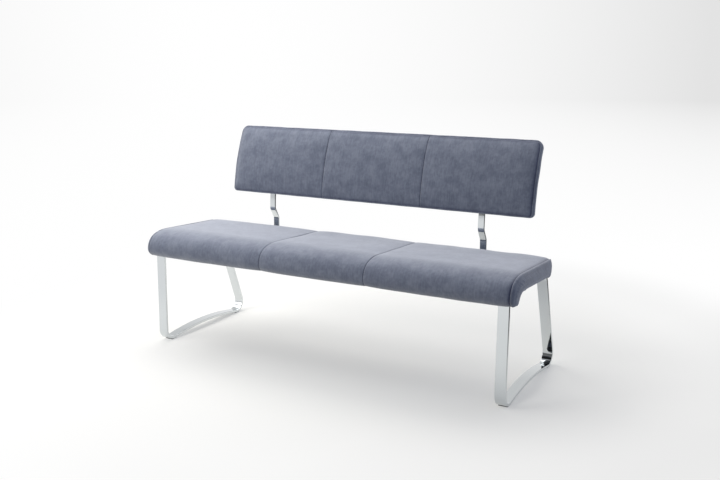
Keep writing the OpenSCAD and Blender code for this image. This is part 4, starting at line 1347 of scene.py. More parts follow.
# The backrest
@dataclass
class BackPanel(SewnPanel):
    """One panel of the backrest's front."""

    crown: float = 3.5
    # Share of the crown that the panel has at its two seams
    seam_crown: float = 0.4
    # How far the foam rolls back to the rim, over what width and how steeply at the end
    roll: float = 8.0
    roll_width: float = 40.0
    roll_power: float = 2.2
    most_move: float = 4.0
    rim_marks: tuple[float, ...] = (0.4, 1.2, 2.4, 4.0, 6.0, 9.0, 13.0, 18.0, 24.0)
    seam_tuck: float = 1.6
    seam_fall: float = 0.9
    pucker: float = 0.4
    # The rim's seam: depth and width of its narrow tuck and of the wider fall round it
    rim_tuck: float = 3.0
    rim_tuck_mm: float = 1.3
    rim_fall: float = 3.0
    rim_fall_mm: float = 6.0
    # The padding stands up as a soft bead beside the rim's seam: height, place, width and waves
    bead: float = 0.9
    bead_at: float = 4.5
    bead_mm: float = 2.2
    bead_wave: float = 0.5
    bead_wave_mm: float = 50.0
    # Slow puckers that run from the rim's seam onto the panel
    rim_wave: float = 0.5
    rim_wave_mm: float = 34.0
    rim_wave_fade: float = 14.0
    dent: float = 0.5
    dent_mm: float = 130.0
    # Painted shade along the rim's seam and the seams between panels, partly compressed nap: its depth
    # and over what width
    rim_nap_and_shade: float = 0.9
    rim_nap_and_shade_mm: float = 8.0
    seam_nap_and_shade: float = 0.2
    seam_nap_and_shade_mm: float = 2.5
    # Distances from the rim and the ends that are smaller than this count as this
    least_edge: float = 0.3
    coarse_step: float = 9.0
    fine_column: float = 5.5
    fine_row: float = 5.0

    def columns(self, step: float) -> np.ndarray:
        """Places of the columns, close together at the panel's seams and at the ends."""
        s = SIZES
        outer_left = self.start <= -s.half_back + 0.01
        outer_right = self.end >= s.half_back - 0.01
        at_rim = spaced(self.start, self.end, step, self.rim_marks)
        if outer_left and outer_right:
            return at_rim
        at_seam = spaced(self.start, self.end, step, SEAM_MARKS)
        middle = (self.start + self.end) / 2
        left = at_rim if outer_left else at_seam
        right = at_rim if outer_right else at_seam
        return np.concatenate([left[left < middle], right[right >= middle]])

    @property
    def row_end(self) -> float:
        """Distance from the middle of the bench at which the backrest ends."""
        return SIZES.half_back

    def rows(self, x: float, shares: np.ndarray) -> tuple[np.ndarray, float, float]:
        """Heights of one column's points, and the rim's height under and over them."""
        s = SIZES
        to_end = np.array(s.half_back - abs(x))
        low = float(rounded_in(to_end, s.back_low_r))
        high = s.back_height - float(rounded_in(to_end, s.back_top_r))
        return low + (high - low) * shares, low, high

    def from_rim(self, x: float, w: np.ndarray, low: float, high: float) -> np.ndarray:
        """Distance from the rim, less again in its corners."""
        end_gap = max(SIZES.half_back - abs(x), self.least_edge)
        edge = np.maximum(np.minimum(w - low, high - w), self.least_edge)
        return 1 / np.sqrt(1 / edge ** 2 + 1 / end_gap ** 2)

    def nap_and_shade(self, x: float, shares: np.ndarray) -> np.ndarray:
        """How dark the painted seam shade is, partly compressed nap: at the rim's seam, and a little at
        the others.
        """
        w, low, high = self.rows(x, shares)
        rim = self.from_rim(x, w, low, high)
        marks = nap_and_shade_fall(rim, self.rim_nap_and_shade, self.rim_nap_and_shade_mm)
        for seam in self.seams(x):
            if not seam.at_end:
                marks += nap_and_shade_fall(seam.distance, self.seam_nap_and_shade, self.seam_nap_and_shade_mm)
        return marks

    def depth(self, x: float, w: np.ndarray, low: float, high: float, sewn: bool) -> np.ndarray:
        """Depth of the fabric behind the plain curved front.

        Args:
            x: Distance from the middle of the bench.
            w: Heights up the front.
            low: Height of the rim's bottom edge here.
            high: Height of the rim's top edge here.
            sewn: True to add the seams, their puckers and the foam's dents.

        Returns:
            The depth at each height; less is nearer to the sitter.
        """
        rim = self.from_rim(x, w, low, high)
        crown = self.crown * (self.seam_crown + (1 - self.seam_crown) * self.across(x))
        depth = self.roll * (1 - np.clip(rim / self.roll_width, 0, 1)) ** self.roll_power
        depth -= crown * full((w - low) / (high - low))
        if sewn:
            depth += self.sewing(x, w, rim)
        return depth

    def sewing(self, x: float, w: np.ndarray, rim: np.ndarray) -> np.ndarray:
        """Depth of the seams, of the puckers beside them and of the foam's dents.

        Args:
            x: Distance from the middle of the bench.
            w: Heights up the front.
            rim: Distance of each point from the rim.

        Returns:
            The depth at each height.
        """
        along = x + w
        depth = (self.rim_tuck * np.exp(-rim / self.rim_tuck_mm)
                 + self.rim_fall * np.exp(-rim / self.rim_fall_mm))
        bead = self.bead * np.exp(-((rim - self.bead_at) / self.bead_mm) ** 2)
        depth -= bead * (1 + self.bead_wave * ripple(along, self.bead_wave_mm, self.seed))
        waves = self.rim_wave * ripple(along, self.rim_wave_mm, self.seed + 3)
        depth += waves * np.exp(-rim / self.rim_wave_fade)
        for seam in self.seams(x):
            if not seam.at_end:
                puckers = self.pucker * ripple(w, PUCKER_MM, self.seed + seam.number)
                depth += seam_hollow(seam.distance, self.seam_tuck, self.seam_fall)
                depth += puckers * beside_seam(seam.distance)
        depth += self.dent * dents(np.full_like(w, x), w, self.dent_mm, self.seed + 9)
        return depth

    def grid(self, xs: np.ndarray, shares: np.ndarray, sewn: bool, inset: float = 0.0) -> np.ndarray:
        """Points of the front, column by column, moved inset into the backrest."""
        columns = []
        for x in xs:
            w, low, high = self.rows(x, shares)
            depth = self.depth(x, w, low, high, sewn) + inset
            y, z = SIZES.back_point(w, depth)
            columns.append(np.stack([np.full(len(w), x), y, z], 1))
        return np.concatenate(columns)

    def shares(self, step: float) -> np.ndarray:
        """Shares of a column's height at which it has a point."""
        height = SIZES.back_height
        return spaced(0.0, height, step, self.rim_marks) / height

    def simulate(self, xs: np.ndarray, rows: np.ndarray) -> np.ndarray:
        """Fills out a coarse copy of the panel.

        Args:
            xs: Places of its columns.
            rows: Shares of a column's height at which it has a point.

        Returns:
            The movements, as columns, rows and the three axes.
        """
        count = (len(xs), len(rows))
        faces = []
        for i in range(count[0] - 1):
            for a in range(i * count[1], (i + 1) * count[1] - 1):
                faces.append((a, a + count[1], a + count[1] + 1, a + 1))
        held = np.zeros(count, bool)
        held[[0, -1], :] = True
        held[:, [0, -1]] = True
        return self.fill_copy(self.grid(xs, rows, False), faces, held, self.most_move)

    def build(self) -> bpy.types.Object:
        """Makes the panel: a coarse one to simulate, then the fine one with its sewing.

        Returns:
            The finished piece.
        """
        coarse_x = self.columns(self.coarse_step)
        coarse_rows = self.shares(self.coarse_step)
        move = self.simulate(coarse_x, coarse_rows)
        xs = self.columns(self.fine_column)
        rows = self.shares(self.fine_row)
        shift = np.zeros((len(xs), len(rows), 3))
        for axis in range(3):
            wide = np.stack([np.interp(xs, coarse_x, line) for line in move[:, :, axis].T], 1)
            shift[:, :, axis] = np.stack([np.interp(rows, coarse_rows, line) for line in wide])
        front = self.grid(xs, rows, True) + shift.reshape(-1, 3)
        back = self.grid(xs, rows, True, SIZES.fabric_t) + shift.reshape(-1, 3)
        faces = slab_faces(len(xs), len(rows))
        piece = make_piece(self.name, np.concatenate([front, back]), faces)
        # Painted shade along the seams, the same on both faces of the panel
        nap_and_shade = np.concatenate([self.nap_and_shade(x, rows) for x in xs])
        mark_nap_and_seam_shade(piece, np.concatenate([nap_and_shade, nap_and_shade]))
        return piece


@dataclass
class RearCover(BackPanel):
    """The plain rear cover of the backrest, tucked in round its rim."""

    rim_in: float = 6.0
    belly: float = 1.2
    rear_tuck: float = 2.4
    rear_wave: float = 0.4
    rear_wave_mm: float = 30.0
    rear_dent: float = 0.6
    rear_dent_mm: float = 160.0

    def rows(self, x: float, shares: np.ndarray) -> tuple[np.ndarray, float, float]:
        """Heights of one column's points, inside the band that wraps the rear edge."""
        s = SIZES
        to_end = np.array(s.half_back - abs(x))
        low = self.rim_in + float(rounded_in(to_end - self.rim_in, s.back_low_r))
        high = s.back_height - self.rim_in - float(rounded_in(to_end - self.rim_in, s.back_top_r))
        return low + (high - low) * shares, low, high

    def grid(self, xs: np.ndarray, shares: np.ndarray, sewn: bool, inset: float = 0.0) -> np.ndarray:
        """Points of the rear, column by column, moved inset into the backrest."""
        s = SIZES
        columns = []
        for x in xs:
            w, low, high = self.rows(x, shares)
            place = np.full(len(w), x)
            edge = np.minimum(np.minimum(w - low, high - w), s.half_back - self.rim_in - abs(x))
            rounding = rounded_in(edge + self.rim_in, s.back_rear_r)
            swell = self.belly * full((w - low) / (high - low))
            depth = s.back_t - rounding + swell - inset
            if sewn:
                waves = self.rear_wave * ripple(x + w, self.rear_wave_mm, self.seed)
                near = np.maximum(edge, self.least_edge)
                depth -= self.rear_tuck * np.exp(-near / self.rim_tuck_mm)
                depth += waves * np.exp(-edge / self.rim_wave_fade)
                depth += self.rear_dent * dents(place, w, self.rear_dent_mm, self.seed + 1)
            y, z = s.back_point(w, depth)
            columns.append(np.stack([place, y, z], 1))
        return np.concatenate(columns)

    def build(self) -> bpy.types.Object:
        """Makes the rear cover with its faces turned to the rear."""
        piece = super().build()
        piece.data.flip_normals()
        return piece


@dataclass
class BackBorder:
    """The band of fabric round the rim of the backrest, from the front seam to the rear seam."""

    name: str = "back_edge_band"
    nodes: tuple[str, ...] = ("back_border",)
    seed: int = 91
    # The backrest's own weight draws the band flatter underneath, by this share
    flatter_below: float = 0.5
    # Offset out of the rim and depth behind the front, from the front seam to the rear seam
    section: tuple[tuple[float, float], ...] = (
        (-3.0, 11.0), (-0.2, 9.0), (2.4, 9.2), (4.2, 11.4), (5.2, 16.0), (5.6, 22.0), (5.4, 27.0),
        (4.2, 32.0), (1.6, 36.8), (-1.8, 40.2), (-4.8, 42.0), (-6.4, 41.8), (-7.6, 39.0))
    pucker: float = 0.35
    pucker_mm: float = 26.0
    belly: float = 0.7
    belly_mm: float = 140.0
    corner_points: int = 9
    step: float = 6.0

    def path(self) -> tuple[np.ndarray, np.ndarray]:
        """The rim as a closed line: places (x, w) and their outward directions."""
        s = SIZES
        top = s.back_top_r
        low = s.back_low_r
        corners = [(s.half_back - top, s.back_height - top, top, 0),
                   (top - s.half_back, s.back_height - top, top, 90),
                   (low - s.half_back, low, low, 180),
                   (s.half_back - low, low, low, 270)]
        places: list[np.ndarray] = []
        outward: list[np.ndarray] = []
        for index, (cx, cw, radius, start) in enumerate(corners):
            for turn in np.linspace(start, start + 90, self.corner_points):
                places.append(np.array([cx, cw]) + radius * heading(turn))
                outward.append(heading(turn))
            nx, nw, next_r, next_start = corners[(index + 1) % 4]
            target = np.array([nx, nw]) + next_r * heading(next_start)
            begin = places[-1]
            steps = math.ceil(np.linalg.norm(target - begin) / self.step)
            for share in np.linspace(0, 1, steps + 1)[1:-1]:
                places.append(begin + (target - begin) * share)
                outward.append(heading(start + 90))
        return np.array(places), np.array(outward)

    def build(self) -> bpy.types.Object:
        """Makes the band as one closed strip with its puckers along both seams."""
        s = SIZES
        places, outward = self.path()
        steps = np.linalg.norm(places - np.roll(places, 1, axis=0), axis=1)
        along = np.cumsum(steps)
        outer = np.array(self.section)
        middle = np.sin(math.pi * np.linspace(0, 1, len(outer)))
        inner = outer[::-1] + [[-s.fabric_t, 0.0]]
        rings = []
        for place, out, run in zip(places, outward, along):
            wave = self.pucker * float(ripple(np.array(run), self.pucker_mm, self.seed))
            belly = self.belly * float(ripple(np.array(run), self.belly_mm, self.seed + 1))
            bulge = middle * belly + wave * (1 - middle)
            section = np.concatenate([outer + np.stack([bulge, np.zeros(len(outer))], 1), inner])
            flatter = 1 - self.flatter_below * max(0.0, -out[1])
            section[:, 0] *= np.where(section[:, 0] > 0, flatter, 1)
            x = place[0] + section[:, 0] * out[0]
            w = place[1] + section[:, 0] * out[1]
            y, z = s.back_point(w, section[:, 1])
            rings.append(np.stack([x, y, z], 1))
        faces = tube_faces(len(rings), len(rings[0]), closed=True)
        return make_piece(self.name, np.concatenate(rings), faces)


@dataclass
class Backrest:
    """The backrest: three front panels, the band round its rim and the rear cover."""

    fill: float = 0.8
    # How far the rear cover lies inside the ends, and how far its padding may move
    rear_in: float = 6.0
    rear_move: float = 3.0

    def build(self) -> None:
        """Makes and dresses the backrest's pieces."""
        s = SIZES
        rear_end = s.half_back - self.rear_in
        parts = [
            BackPanel("back_panel_left", ("back_cover_left",), -s.half_back, -s.seam_x, 101),
            BackPanel("back_panel_middle", ("back_cover_middle", "back_foam"),
                      -s.seam_x, s.seam_x, 113),
            BackPanel("back_panel_right", ("back_cover_right",), s.seam_x, s.half_back, 127),
            RearCover("back_rear_panel", ("back_rear_cover", "back_wadding"),
                      -rear_end, rear_end, 139, most_move=self.rear_move, rim_in=self.rear_in),
            BackBorder()]
        for part in parts:
            upholster(part)


# The steel
@dataclass
class FlatBar:
    """A flat steel bar bent along a line in the side view.

    Its section is a rectangle whose four edges are eased by the polishing wheel.
    """

    name: str
    x: float
    width: float
    thickness: float
    edge_r: float = 1.6
    edge_steps: int = 4

    def section(self) -> np.ndarray:
        """The section as (across, out) points, anticlockwise."""
        w = self.width / 2 - self.edge_r
        t = self.thickness / 2 - self.edge_r
        corners = ((w, t, 0), (-w, t, 90), (-w, -t, 180), (w, -t, 270))
        points = [np.array([cx, cy]) + self.edge_r * heading(turn)
                  for cx, cy, start in corners
                  for turn in np.linspace(start, start + 90, self.edge_steps + 1)]
        return np.array(points)

    def sweep(self, line: np.ndarray, out: np.ndarray, closed: bool) -> bpy.types.Object:
        """Carries the section along a line.

        Args:
            line: Middle of the bar, points of the side view.
            out: Direction of its outer face at each point.
            closed: True for a hoop that meets itself.

        Returns:
            The bar as a mesh object.
        """
        section = self.section()
        rings = []
        for point, direction in zip(line, out):
            y = point[0] + section[:, 1] * direction[0]
            z = point[1] + section[:, 1] * direction[1]
            rings.append(np.stack([self.x + section[:, 0], y, z], 1))
        n = len(section)
        faces = tube_faces(len(rings), n, closed)
        if not closed:
            faces.append(tuple(range(n)))
            faces.append(tuple(range(len(rings) * n - 1, (len(rings) - 1) * n - 1, -1)))
        piece = make_piece(self.name, np.concatenate(rings), faces)
        flats = piece.modifiers.new("flat faces", "WEIGHTED_NORMAL")
        flats.weight = 100  # the most that Blender takes: large faces decide
        return piece


@dataclass
class Bend:
    """One bend of a bar: the middle line's arc, and the side on which its outer face lies."""

    centre: np.ndarray
    radius: float
    start: float
    end: float
    side: int

    def trace(self, step: float) -> tuple[np.ndarray, np.ndarray]:
        """Points of the arc and the direction of the outer face at each."""
        count = max(2, math.ceil(abs(self.end - self.start) / step) + 1)
        turns = np.radians(np.linspace(self.start, self.end, count))
        rays = np.stack([np.cos(turns), np.sin(turns)], 1)
        return self.centre + self.radius * rays, self.side * rays


def trace_bends(bends: list[Bend]) -> tuple[np.ndarray, np.ndarray]:
    """Joins bends by straight runs into one line with its outward directions.

    Args:
        bends: The bends, in the order in which the bar runs through them.

    Returns:
        The points of the line and the direction of the outer face at each.
    """
    slow_r = 300.0
    slow_step = 0.5
    tight_step = 3.0
    touching = 0.05
    run_steps = 7
    lines = []
    outs = []
    for bend in bends:
        line, out = bend.trace(slow_step if bend.radius > slow_r else tight_step)
        if lines and np.linalg.norm(lines[-1][-1] - line[0]) < touching:
            line = line[1:]
            out = out[1:]
        elif lines:
            begin = lines[-1][-1]
            begin_out = outs[-1][-1]
            shares = np.linspace(0, 1, run_steps + 1)[1:-1, None]
            lines.append(begin + (line[0] - begin) * shares)
            outs.append(begin_out + (out[0] - begin_out) * shares)
        lines.append(line)
        outs.append(out)
    return np.concatenate(lines), np.concatenate(outs)


@dataclass
class Steelwork:
    """Two closed hoops as legs and two bent bars that carry the backrest, all chromed."""

    support_edge_r: float = 1.2

    def hoop_bends(self) -> list[Bend]:
        """The bends of a hoop, from the front foot round by the floor and the rear leg."""
        s = SIZES
        leg = s.hoop_r - s.hoop_t / 2
        low_front = s.hoop_low_front
        low_rear = low_front + [s.foot_span, 0]
        top_front = s.hoop_top_front
        top_rear = s.under_seat(low_rear, heading(90 + s.rear_slant))
        half_span = s.foot_span / 2
        arch_r = (half_span ** 2 / s.arch_rise + s.arch_rise) / 2 - s.hoop_r
        turn = math.degrees(math.asin(half_span / (arch_r + s.hoop_r)))
        arch_c = np.array([low_front[0] + half_span, s.glide_t + s.arch_rise - arch_r])
        front_out = 180 - s.front_lean
        top_out = 90 - s.seat_rake
        return [Bend(low_front, leg, front_out, 270 + turn, 1),
                Bend(arch_c, arch_r + s.hoop_t / 2, 90 + turn, 90 - turn, -1),
                Bend(low_rear, leg, 270 - turn, 360 + s.rear_slant, 1),
                Bend(top_rear, leg, s.rear_slant, top_out, 1),
                Bend(top_front, leg, top_out, front_out, 1)]

    def support_bends(self) -> tuple[list[Bend], np.ndarray]:
        """The bends of a back support and the end of its arm under the rails."""
        s = SIZES
        bar_r = s.back_r - s.bar_depth - s.support_t / 2
        top_lean = s.back_lean + math.degrees(s.support_up / bar_r)
        jog_lean = s.back_lean - math.degrees(s.support_drop / bar_r)
        jog_top = s.back_c + bar_r * heading(180 - jog_lean)
        in_c = jog_top + s.jog_r * heading(-jog_lean)
        in_end = in_c - s.jog_r * heading(s.jog_slope)
        upright = jog_top[0] + s.support_jog
        slope = math.radians(s.jog_slope)
        run = (upright - in_end[0] - s.jog_r * (1 - math.cos(slope))) / math.sin(slope)
        out_c = in_end + run * heading(s.jog_slope - 90) - s.jog_r * heading(s.jog_slope)
        arm_z = -s.rail_h - s.support_t / 2
        knee_y = upright - s.knee_r
        origin = s.seat_origin
        fall = (knee_y - origin[0]) * math.sin(s.rake)
        knee_z = origin[1] + (arm_z + s.knee_r - fall) / math.cos(s.rake)
        arm_end = np.array(s.seat_point(s.front_rail_in - s.rail_w / 2, arm_z))
        bends = [Bend(s.back_c, bar_r, 180 - top_lean, 180 - jog_lean, -1),
                 Bend(in_c, s.jog_r, 180 - jog_lean, 180 + s.jog_slope, -1),
                 Bend(out_c, s.jog_r, s.jog_slope, 0, 1),
                 Bend(np.array([knee_y, knee_z]), s.knee_r, 0, -90 - s.seat_rake, 1)]
        return bends, arm_end

    def build(self) -> None:
        """Makes and dresses the four bars."""
        s = SIZES
        line, out = trace_bends(self.hoop_bends())
        for side, node in ((-1, "left_hoop"), (1, "right_hoop")):
            bar = FlatBar(node + "_bar", side * s.hoop_x, s.hoop_w, s.hoop_t)
            dress(bar.sweep(line[::-1], out[::-1], True), Finish.CHROME, "chromed_steel", node)
        bends, arm_end = self.support_bends()
        line, out = trace_bends(bends)
        line = np.concatenate([line, arm_end[None]])
        out = np.concatenate([out, out[-1:]])
        for side, node in ((-1, "left_back_support"), (1, "right_back_support")):
            bar = FlatBar(node + "_bar", side * s.support_span / 2, s.support_w, s.support_t,
                          self.support_edge_r)
            dress(bar.sweep(line[::-1], out[::-1], False), Finish.CHROME, "chromed_steel", node)


def finish_solids() -> None:
    """Gives the solids that stay in view their materials."""
    finishes = {
        "floor_glides": Finish.PLASTIC, "rail_end_caps": Finish.PLASTIC, "front_rail": Finish.PAINT,
        "rear_rail": Finish.PAINT, "hoop_screws": Finish.ZINC, "hoop_washers": Finish.ZINC,
        "rail_screws": Finish.ZINC, "support_bolts": Finish.ZINC, "seat_tee_nuts": Finish.ZINC,
        "back_screws": Finish.ZINC, "seat_board": Finish.PLYWOOD, "back_board": Finish.PLYWOOD,
        "nose_batten": Finish.PINE}
    for name, finish in finishes.items():
        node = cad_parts[name]
        for slot in node.material_slots:
            slot.material = finish.material()
        LOG.info("%s: %s", name, finish.value.name)


# The studio
@dataclass(frozen=True)
class Softbox:
    """One rectangular soft lamp: where it stands, what it faces, its size and its power."""

    name: str
    place: tuple[float, float, float]
    aim: tuple[float, float, float]
    size: tuple[float, float]
    power: float

    def build(self) -> None:
        """Makes the lamp."""
        data = bpy.data.lights.new(self.name, "AREA")
        data.shape = "RECTANGLE"
        data.size, data.size_y = self.size
        data.energy = self.power
        lamp = bpy.data.objects.new(self.name, data)
        lamp.location = self.place
        lamp.rotation_mode = "QUATERNION"
        lamp.rotation_quaternion = (Vector(self.aim) - Vector(self.place)).to_track_quat("-Z", "Y")
        bpy.context.scene.collection.objects.link(lamp)


@dataclass
class Studio:
    """A pale floor under a pale room, soft lamps over the left of the bench, and the camera."""

    # Camera, from the photograph's perspective: metres and degrees
    camera_place: tuple[float, float, float] = (1.699, -2.935, 1.189)
    azimuth: float = 29.30
    pitch: float = 12.18
    lens: float = 44.48
    sensor: float = 36.0
    sees_to: float = 100.0
    lamps: tuple[Softbox, ...] = (
        Softbox("over_left", (-1.3, 0.2, 2.1), (-0.2, 0.0, 0.4), (2.0, 1.6), 27.0),
        Softbox("over_middle", (-0.1, 0.8, 2.3), (0.0, 0.0, 0.4), (2.6, 1.2), 14.0),
        Softbox("front_left", (-2.0, -2.2, 1.6), (0.0, 0.0, 0.4), (1.6, 1.6), 38.0))
    # The room's own light, and how much more comes from the pale wall behind the bench
    room_light: float = 0.304
    wall_light: float = 1.0
    wall_light_way: tuple[float, float, float] = (-0.78, 0.62, 0.0)
    wall_light_from: float = 0.3
    # The light from the right is a little cooler, and this much stronger
    right_light: str = "#B4CCFF"
    right_fill: float = 0.3
    # How dark the floor is to light that bounces off it onto the bench
    floor_shade: str = "#BFBFC1"
    floor_tint: str = "#FFFDF6"
    # Share of the floor's white that doesn't depend on the lamps: small by the bench, where the
    # shadow falls, and all of it further off, where the lamps don't reach
    pool: tuple[float, float, float] = (0.1, 0.2, 0.0)
    pool_reach: float = 4.0
    pool_glow: tuple[tuple[float, str], ...] = (
        (0.7, "#8F8F8F"), (1.3, "#D8D8D8"), (1.9, "#FFFFFF"))
    # Painted falloff of light on the floor: it turns a little greyer this way, to the right and the
    # front
    grey_way: tuple[float, float, float] = (0.9, -0.3, 0.0)
    grey_from: tuple[float, float] = (0.6, 1.5)
    grey_tones: tuple[float, float] = (1.0, 0.9)
    # Painted falloff of light on the far wall: it is whitest this way, and greyer where its direction
    # turns away from it
    wall_way: tuple[float, float, float] = (-0.61, 0.79, 0.0)
    wall_turns: tuple[float, float] = (0.87, 0.998)
    wall_tones: tuple[float, float] = (0.77, 1.0)
    # The unlit side of the studio behind the camera, which only the metal sees
    unlit_way: tuple[float, float, float] = (0.0, -0.98, 0.2)
    unlit_turns: tuple[float, float] = (0.84, 0.93)
    unlit_tone: float = 0.2
    # Distances between which the floor takes on the wall's tone
    wall_from: tuple[float, float] = (5.5, 22.0)
    # A dark patch painted on the floor beyond the right end, seen only in the metal: a painted dark
    # reflection for its side faces
    dark_reflection_x: tuple[float, float] = (0.92, 1.15)
    dark_reflection_tone: float = 0.1
    floor_edge: float = 90.0

    def camera(self) -> None:
        """Makes the camera."""
        data = bpy.data.cameras.new("camera")
        data.lens = self.lens
        data.sensor_width = self.sensor
        data.sensor_fit = "HORIZONTAL"
        data.clip_end = self.sees_to
        camera = bpy.data.objects.new("camera", data)
        camera.location = self.camera_place
        camera.rotation_euler = (math.radians(90 - self.pitch), 0.0, math.radians(self.azimuth))
        bpy.context.scene.collection.objects.link(camera)
        bpy.context.scene.camera = camera

    def seen(self, tree: bpy.types.NodeTree) -> bpy.types.NodeSocket:
        """One for what the camera sees straight, in metal or through glass, and nought for light."""
        path = add_node(tree, "LightPath")
        mirrored = add_node(tree, "Math", {0: path.outputs["Is Camera Ray"],
                                           1: path.outputs["Is Glossy Ray"]}, operation="MAXIMUM")
        return add_node(tree, "Math", {0: mirrored.outputs[0], 1: path.outputs["Is Transmission Ray"]},
                        operation="MAXIMUM").outputs[0]

    def wall_white(self, tree: bpy.types.NodeTree, way: bpy.types.NodeSocket) -> bpy.types.NodeSocket:
        """How white the far wall is in a direction, with its painted falloff of light.

        Args:
            tree: The tree that gets the nodes.
            way: The direction, of any length.

        Returns:
            The socket with the white's strength.
        """
        unit = add_node(tree, "VectorMath", {0: way}, operation="NORMALIZE")
        turn = add_node(tree, "VectorMath", {0: unit.outputs[0], 1: self.wall_way},
                        operation="DOT_PRODUCT")
        return add_node(tree, "MapRange", {
            "Value": turn.outputs["Value"],
            "From Min": self.wall_turns[0], "From Max": self.wall_turns[1],
            "To Min": self.wall_tones[0], "To Max": self.wall_tones[1]}).outputs[0]

    def unlit(self, tree: bpy.types.NodeTree, way: bpy.types.NodeSocket) -> bpy.types.NodeSocket:
        """The dark side of the studio in the metal.

        Args:
            tree: The tree that gets the nodes.
            way: The direction.

        Returns:
            The socket with the share of white that is left.
        """
        metal = add_node(tree, "LightPath").outputs["Is Glossy Ray"]
        turn = add_node(tree, "VectorMath", {0: way, 1: self.unlit_way}, operation="DOT_PRODUCT")
        dark = add_node(tree, "MapRange", {
            "Value": turn.outputs["Value"], "From Min": self.unlit_turns[0],
            "From Max": self.unlit_turns[1], "To Min": 1.0, "To Max": self.unlit_tone})
        return add_node(tree, "Mix", {"Factor": metal, 2: 1.0, 3: dark.outputs[0]}).outputs[0]

    def world(self) -> None:
        """The room: it lights the bench evenly, and the camera and the metal see it white."""
        world = bpy.data.worlds.new("pale_room")
        bpy.context.scene.world = world
        world.use_nodes = True
        tree = world.node_tree
        tree.nodes.clear()
        toward = add_node(tree, "TexCoord").outputs["Generated"]
        seen = self.seen(tree)
        turn = add_node(tree, "VectorMath", {0: toward, 1: self.wall_light_way},
                        operation="DOT_PRODUCT")
        light = add_node(tree, "MapRange", {
            "Value": turn.outputs["Value"], "From Min": self.wall_light_from, "From Max": 1.0,
            "To Min": self.room_light, "To Max": self.room_light + self.wall_light})
        across = add_node(tree, "SeparateXYZ", {0: toward})
        unseen = add_node(tree, "Math", {0: 1.0, 1: seen}, operation="SUBTRACT")
        cool = add_node(tree, "Math", {0: across.outputs["X"], 1: unseen.outputs[0]},
                        operation="MULTIPLY", use_clamp=True)
        colour = add_node(tree, "Mix", {0: cool.outputs[0], 6: linear("#FFFFFF"),
                                        7: linear(self.right_light)}, data_type="RGBA")
        fill = add_node(tree, "Math", {0: cool.outputs[0], 1: self.right_fill, 2: light.outputs[0]},
                        operation="MULTIPLY_ADD")
        shown = add_node(tree, "Math", {0: self.wall_white(tree, toward), 1: self.unlit(tree, toward)},
                         operation="MULTIPLY")
        strength = add_node(tree, "Mix", {"Factor": seen, 2: fill.outputs[0], 3: shown.outputs[0]})
        back = add_node(tree, "Background", {"Color": colour.outputs[2],
                                             "Strength": strength.outputs[0]})
        add_node(tree, "OutputWorld", {"Surface": back.outputs[0]})

    def pool_share(self, tree: bpy.types.NodeTree, place: bpy.types.NodeSocket) -> bpy.types.NodeSocket:
        """Share of the floor's own white, by the distance from the middle of the pool of light.

        Args:
            tree: The tree that gets the nodes.
            place: The place on the floor.

        Returns:
            The socket with the share.
        """
        away = add_node(tree, "VectorMath", {0: place, 1: self.pool}, operation="DISTANCE")
        share = add_node(tree, "Math", {0: away.outputs["Value"], 1: self.pool_reach},
                         operation="DIVIDE")
        ramp = add_node(tree, "ValToRGB", {0: share.outputs[0]})
        ramp.color_ramp.interpolation = "EASE"
        stops = ramp.color_ramp.elements
        for number, (distance, tone) in enumerate(self.pool_glow):
            stop = stops[number] if number < 2 else stops.new(1.0)
            stop.position = distance / self.pool_reach
            stop.color = linear(tone)
        return ramp.outputs[0]

    def near_tone(self, tree: bpy.types.NodeTree, place: bpy.types.NodeSocket) -> bpy.types.NodeSocket:
        """How white the floor near the bench is, with a painted falloff of light that makes it a little
        greyer to the right and the front.
        """
        over = add_node(tree, "VectorMath", {0: place, 1: self.grey_way}, operation="DOT_PRODUCT")
        return add_node(tree, "MapRange", {
            "Value": over.outputs["Value"],
            "From Min": self.grey_from[0], "From Max": self.grey_from[1],
            "To Min": self.grey_tones[0], "To Max": self.grey_tones[1]}).outputs[0]

    def painted_dark_reflection(self, tree: bpy.types.NodeTree, place: bpy.types.NodeSocket) -> bpy.types.NodeSocket:
        """A dark patch painted on the floor to the right, which only the metal sees: a painted dark
        reflection.

        It draws the thin dark line down the side faces of the polished bars.

        Args:
            tree: The tree that gets the nodes.
            place: The place on the floor.

        Returns:
            The socket with the share of white that is left.
        """
        metal = add_node(tree, "LightPath").outputs["Is Glossy Ray"]
        across = add_node(tree, "SeparateXYZ", {0: place})
        dark_patch = add_node(tree, "MapRange", {"Value": across.outputs["X"], "From Min": self.dark_reflection_x[0],
                                           "From Max": self.dark_reflection_x[1], "To Min": 1.0,
                                           "To Max": self.dark_reflection_tone})
        return add_node(tree, "Mix", {"Factor": metal, 2: 1.0, 3: dark_patch.outputs[0]}).outputs[0]

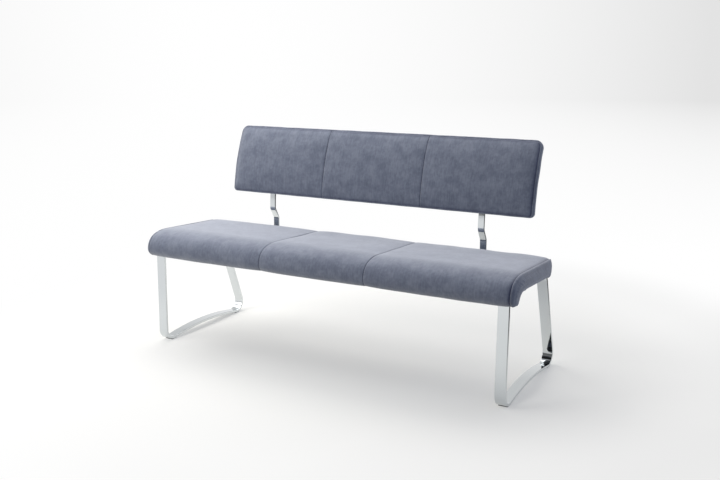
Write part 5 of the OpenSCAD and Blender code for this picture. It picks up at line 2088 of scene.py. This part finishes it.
    def floor(self) -> None:
        """A wide matt floor that keeps the bench's shadow and fades into the wall."""
        mesh = bpy.data.meshes.new("floor")
        edge = self.floor_edge
        mesh.from_pydata([(-edge, -edge, 0), (edge, -edge, 0), (edge, edge, 0), (-edge, edge, 0)], [],
                         [(0, 1, 2, 3)])
        floor = bpy.data.objects.new("floor", mesh)
        bpy.context.scene.collection.objects.link(floor)
        material, tree = new_material("studio_floor")
        seen = self.seen(tree)
        place = add_node(tree, "TexCoord").outputs["Object"]
        glow = self.pool_share(tree, place)
        # Far off, the wall's tone takes over, by the way from a fixed place in front of the bench:
        # the spot under the photograph's camera, from which floor and wall meet without a line
        ground = (self.camera_place[0], self.camera_place[1], 0.0)
        way = add_node(tree, "VectorMath", {0: place, 1: ground}, operation="SUBTRACT")
        length = add_node(tree, "VectorMath", {0: way.outputs[0]}, operation="LENGTH")
        off = add_node(tree, "MapRange", {"Value": length.outputs["Value"],
                                          "From Min": self.wall_from[0], "From Max": self.wall_from[1]})
        lit = add_node(tree, "Mix", {"Factor": off.outputs[0], 2: self.near_tone(tree, place),
                                     3: self.wall_white(tree, way.outputs[0])})
        white = add_node(tree, "VectorMath", {0: lit.outputs[0], 1: self.painted_dark_reflection(tree, place)},
                         operation="MULTIPLY")
        colour = add_node(tree, "Mix", {0: seen, 6: linear(self.floor_shade), 7: white.outputs[0]},
                          data_type="RGBA")
        warm = add_node(tree, "VectorMath", {0: colour.outputs[2], 1: linear(self.floor_tint)[:3]},
                        operation="MULTIPLY")
        matt = add_node(tree, "BsdfDiffuse", {"Color": warm.outputs[0], "Roughness": 0.3})
        own = add_node(tree, "Emission", {"Color": white.outputs[0]})
        share = add_node(tree, "Math", {0: seen, 1: glow}, operation="MULTIPLY")
        surface = add_node(tree, "MixShader", {0: share.outputs[0], 1: matt.outputs[0],
                                               2: own.outputs[0]})
        add_node(tree, "OutputMaterial", {"Surface": surface.outputs[0]})
        mesh.materials.append(material)

    def build(self) -> None:
        """Sets up the whole studio."""
        self.camera()
        self.world()
        self.floor()
        for lamp in self.lamps:
            lamp.build()
        bpy.context.scene.view_settings.view_transform = "Standard"


def main() -> None:
    """Builds the studio and dresses the bench, piece by piece."""
    logging.basicConfig(level=logging.INFO, format="%(message)s")
    Studio().build()
    Steelwork().build()
    Seat().build()
    Backrest().build()
    finish_solids()


if __name__ == "__main__":
    main()
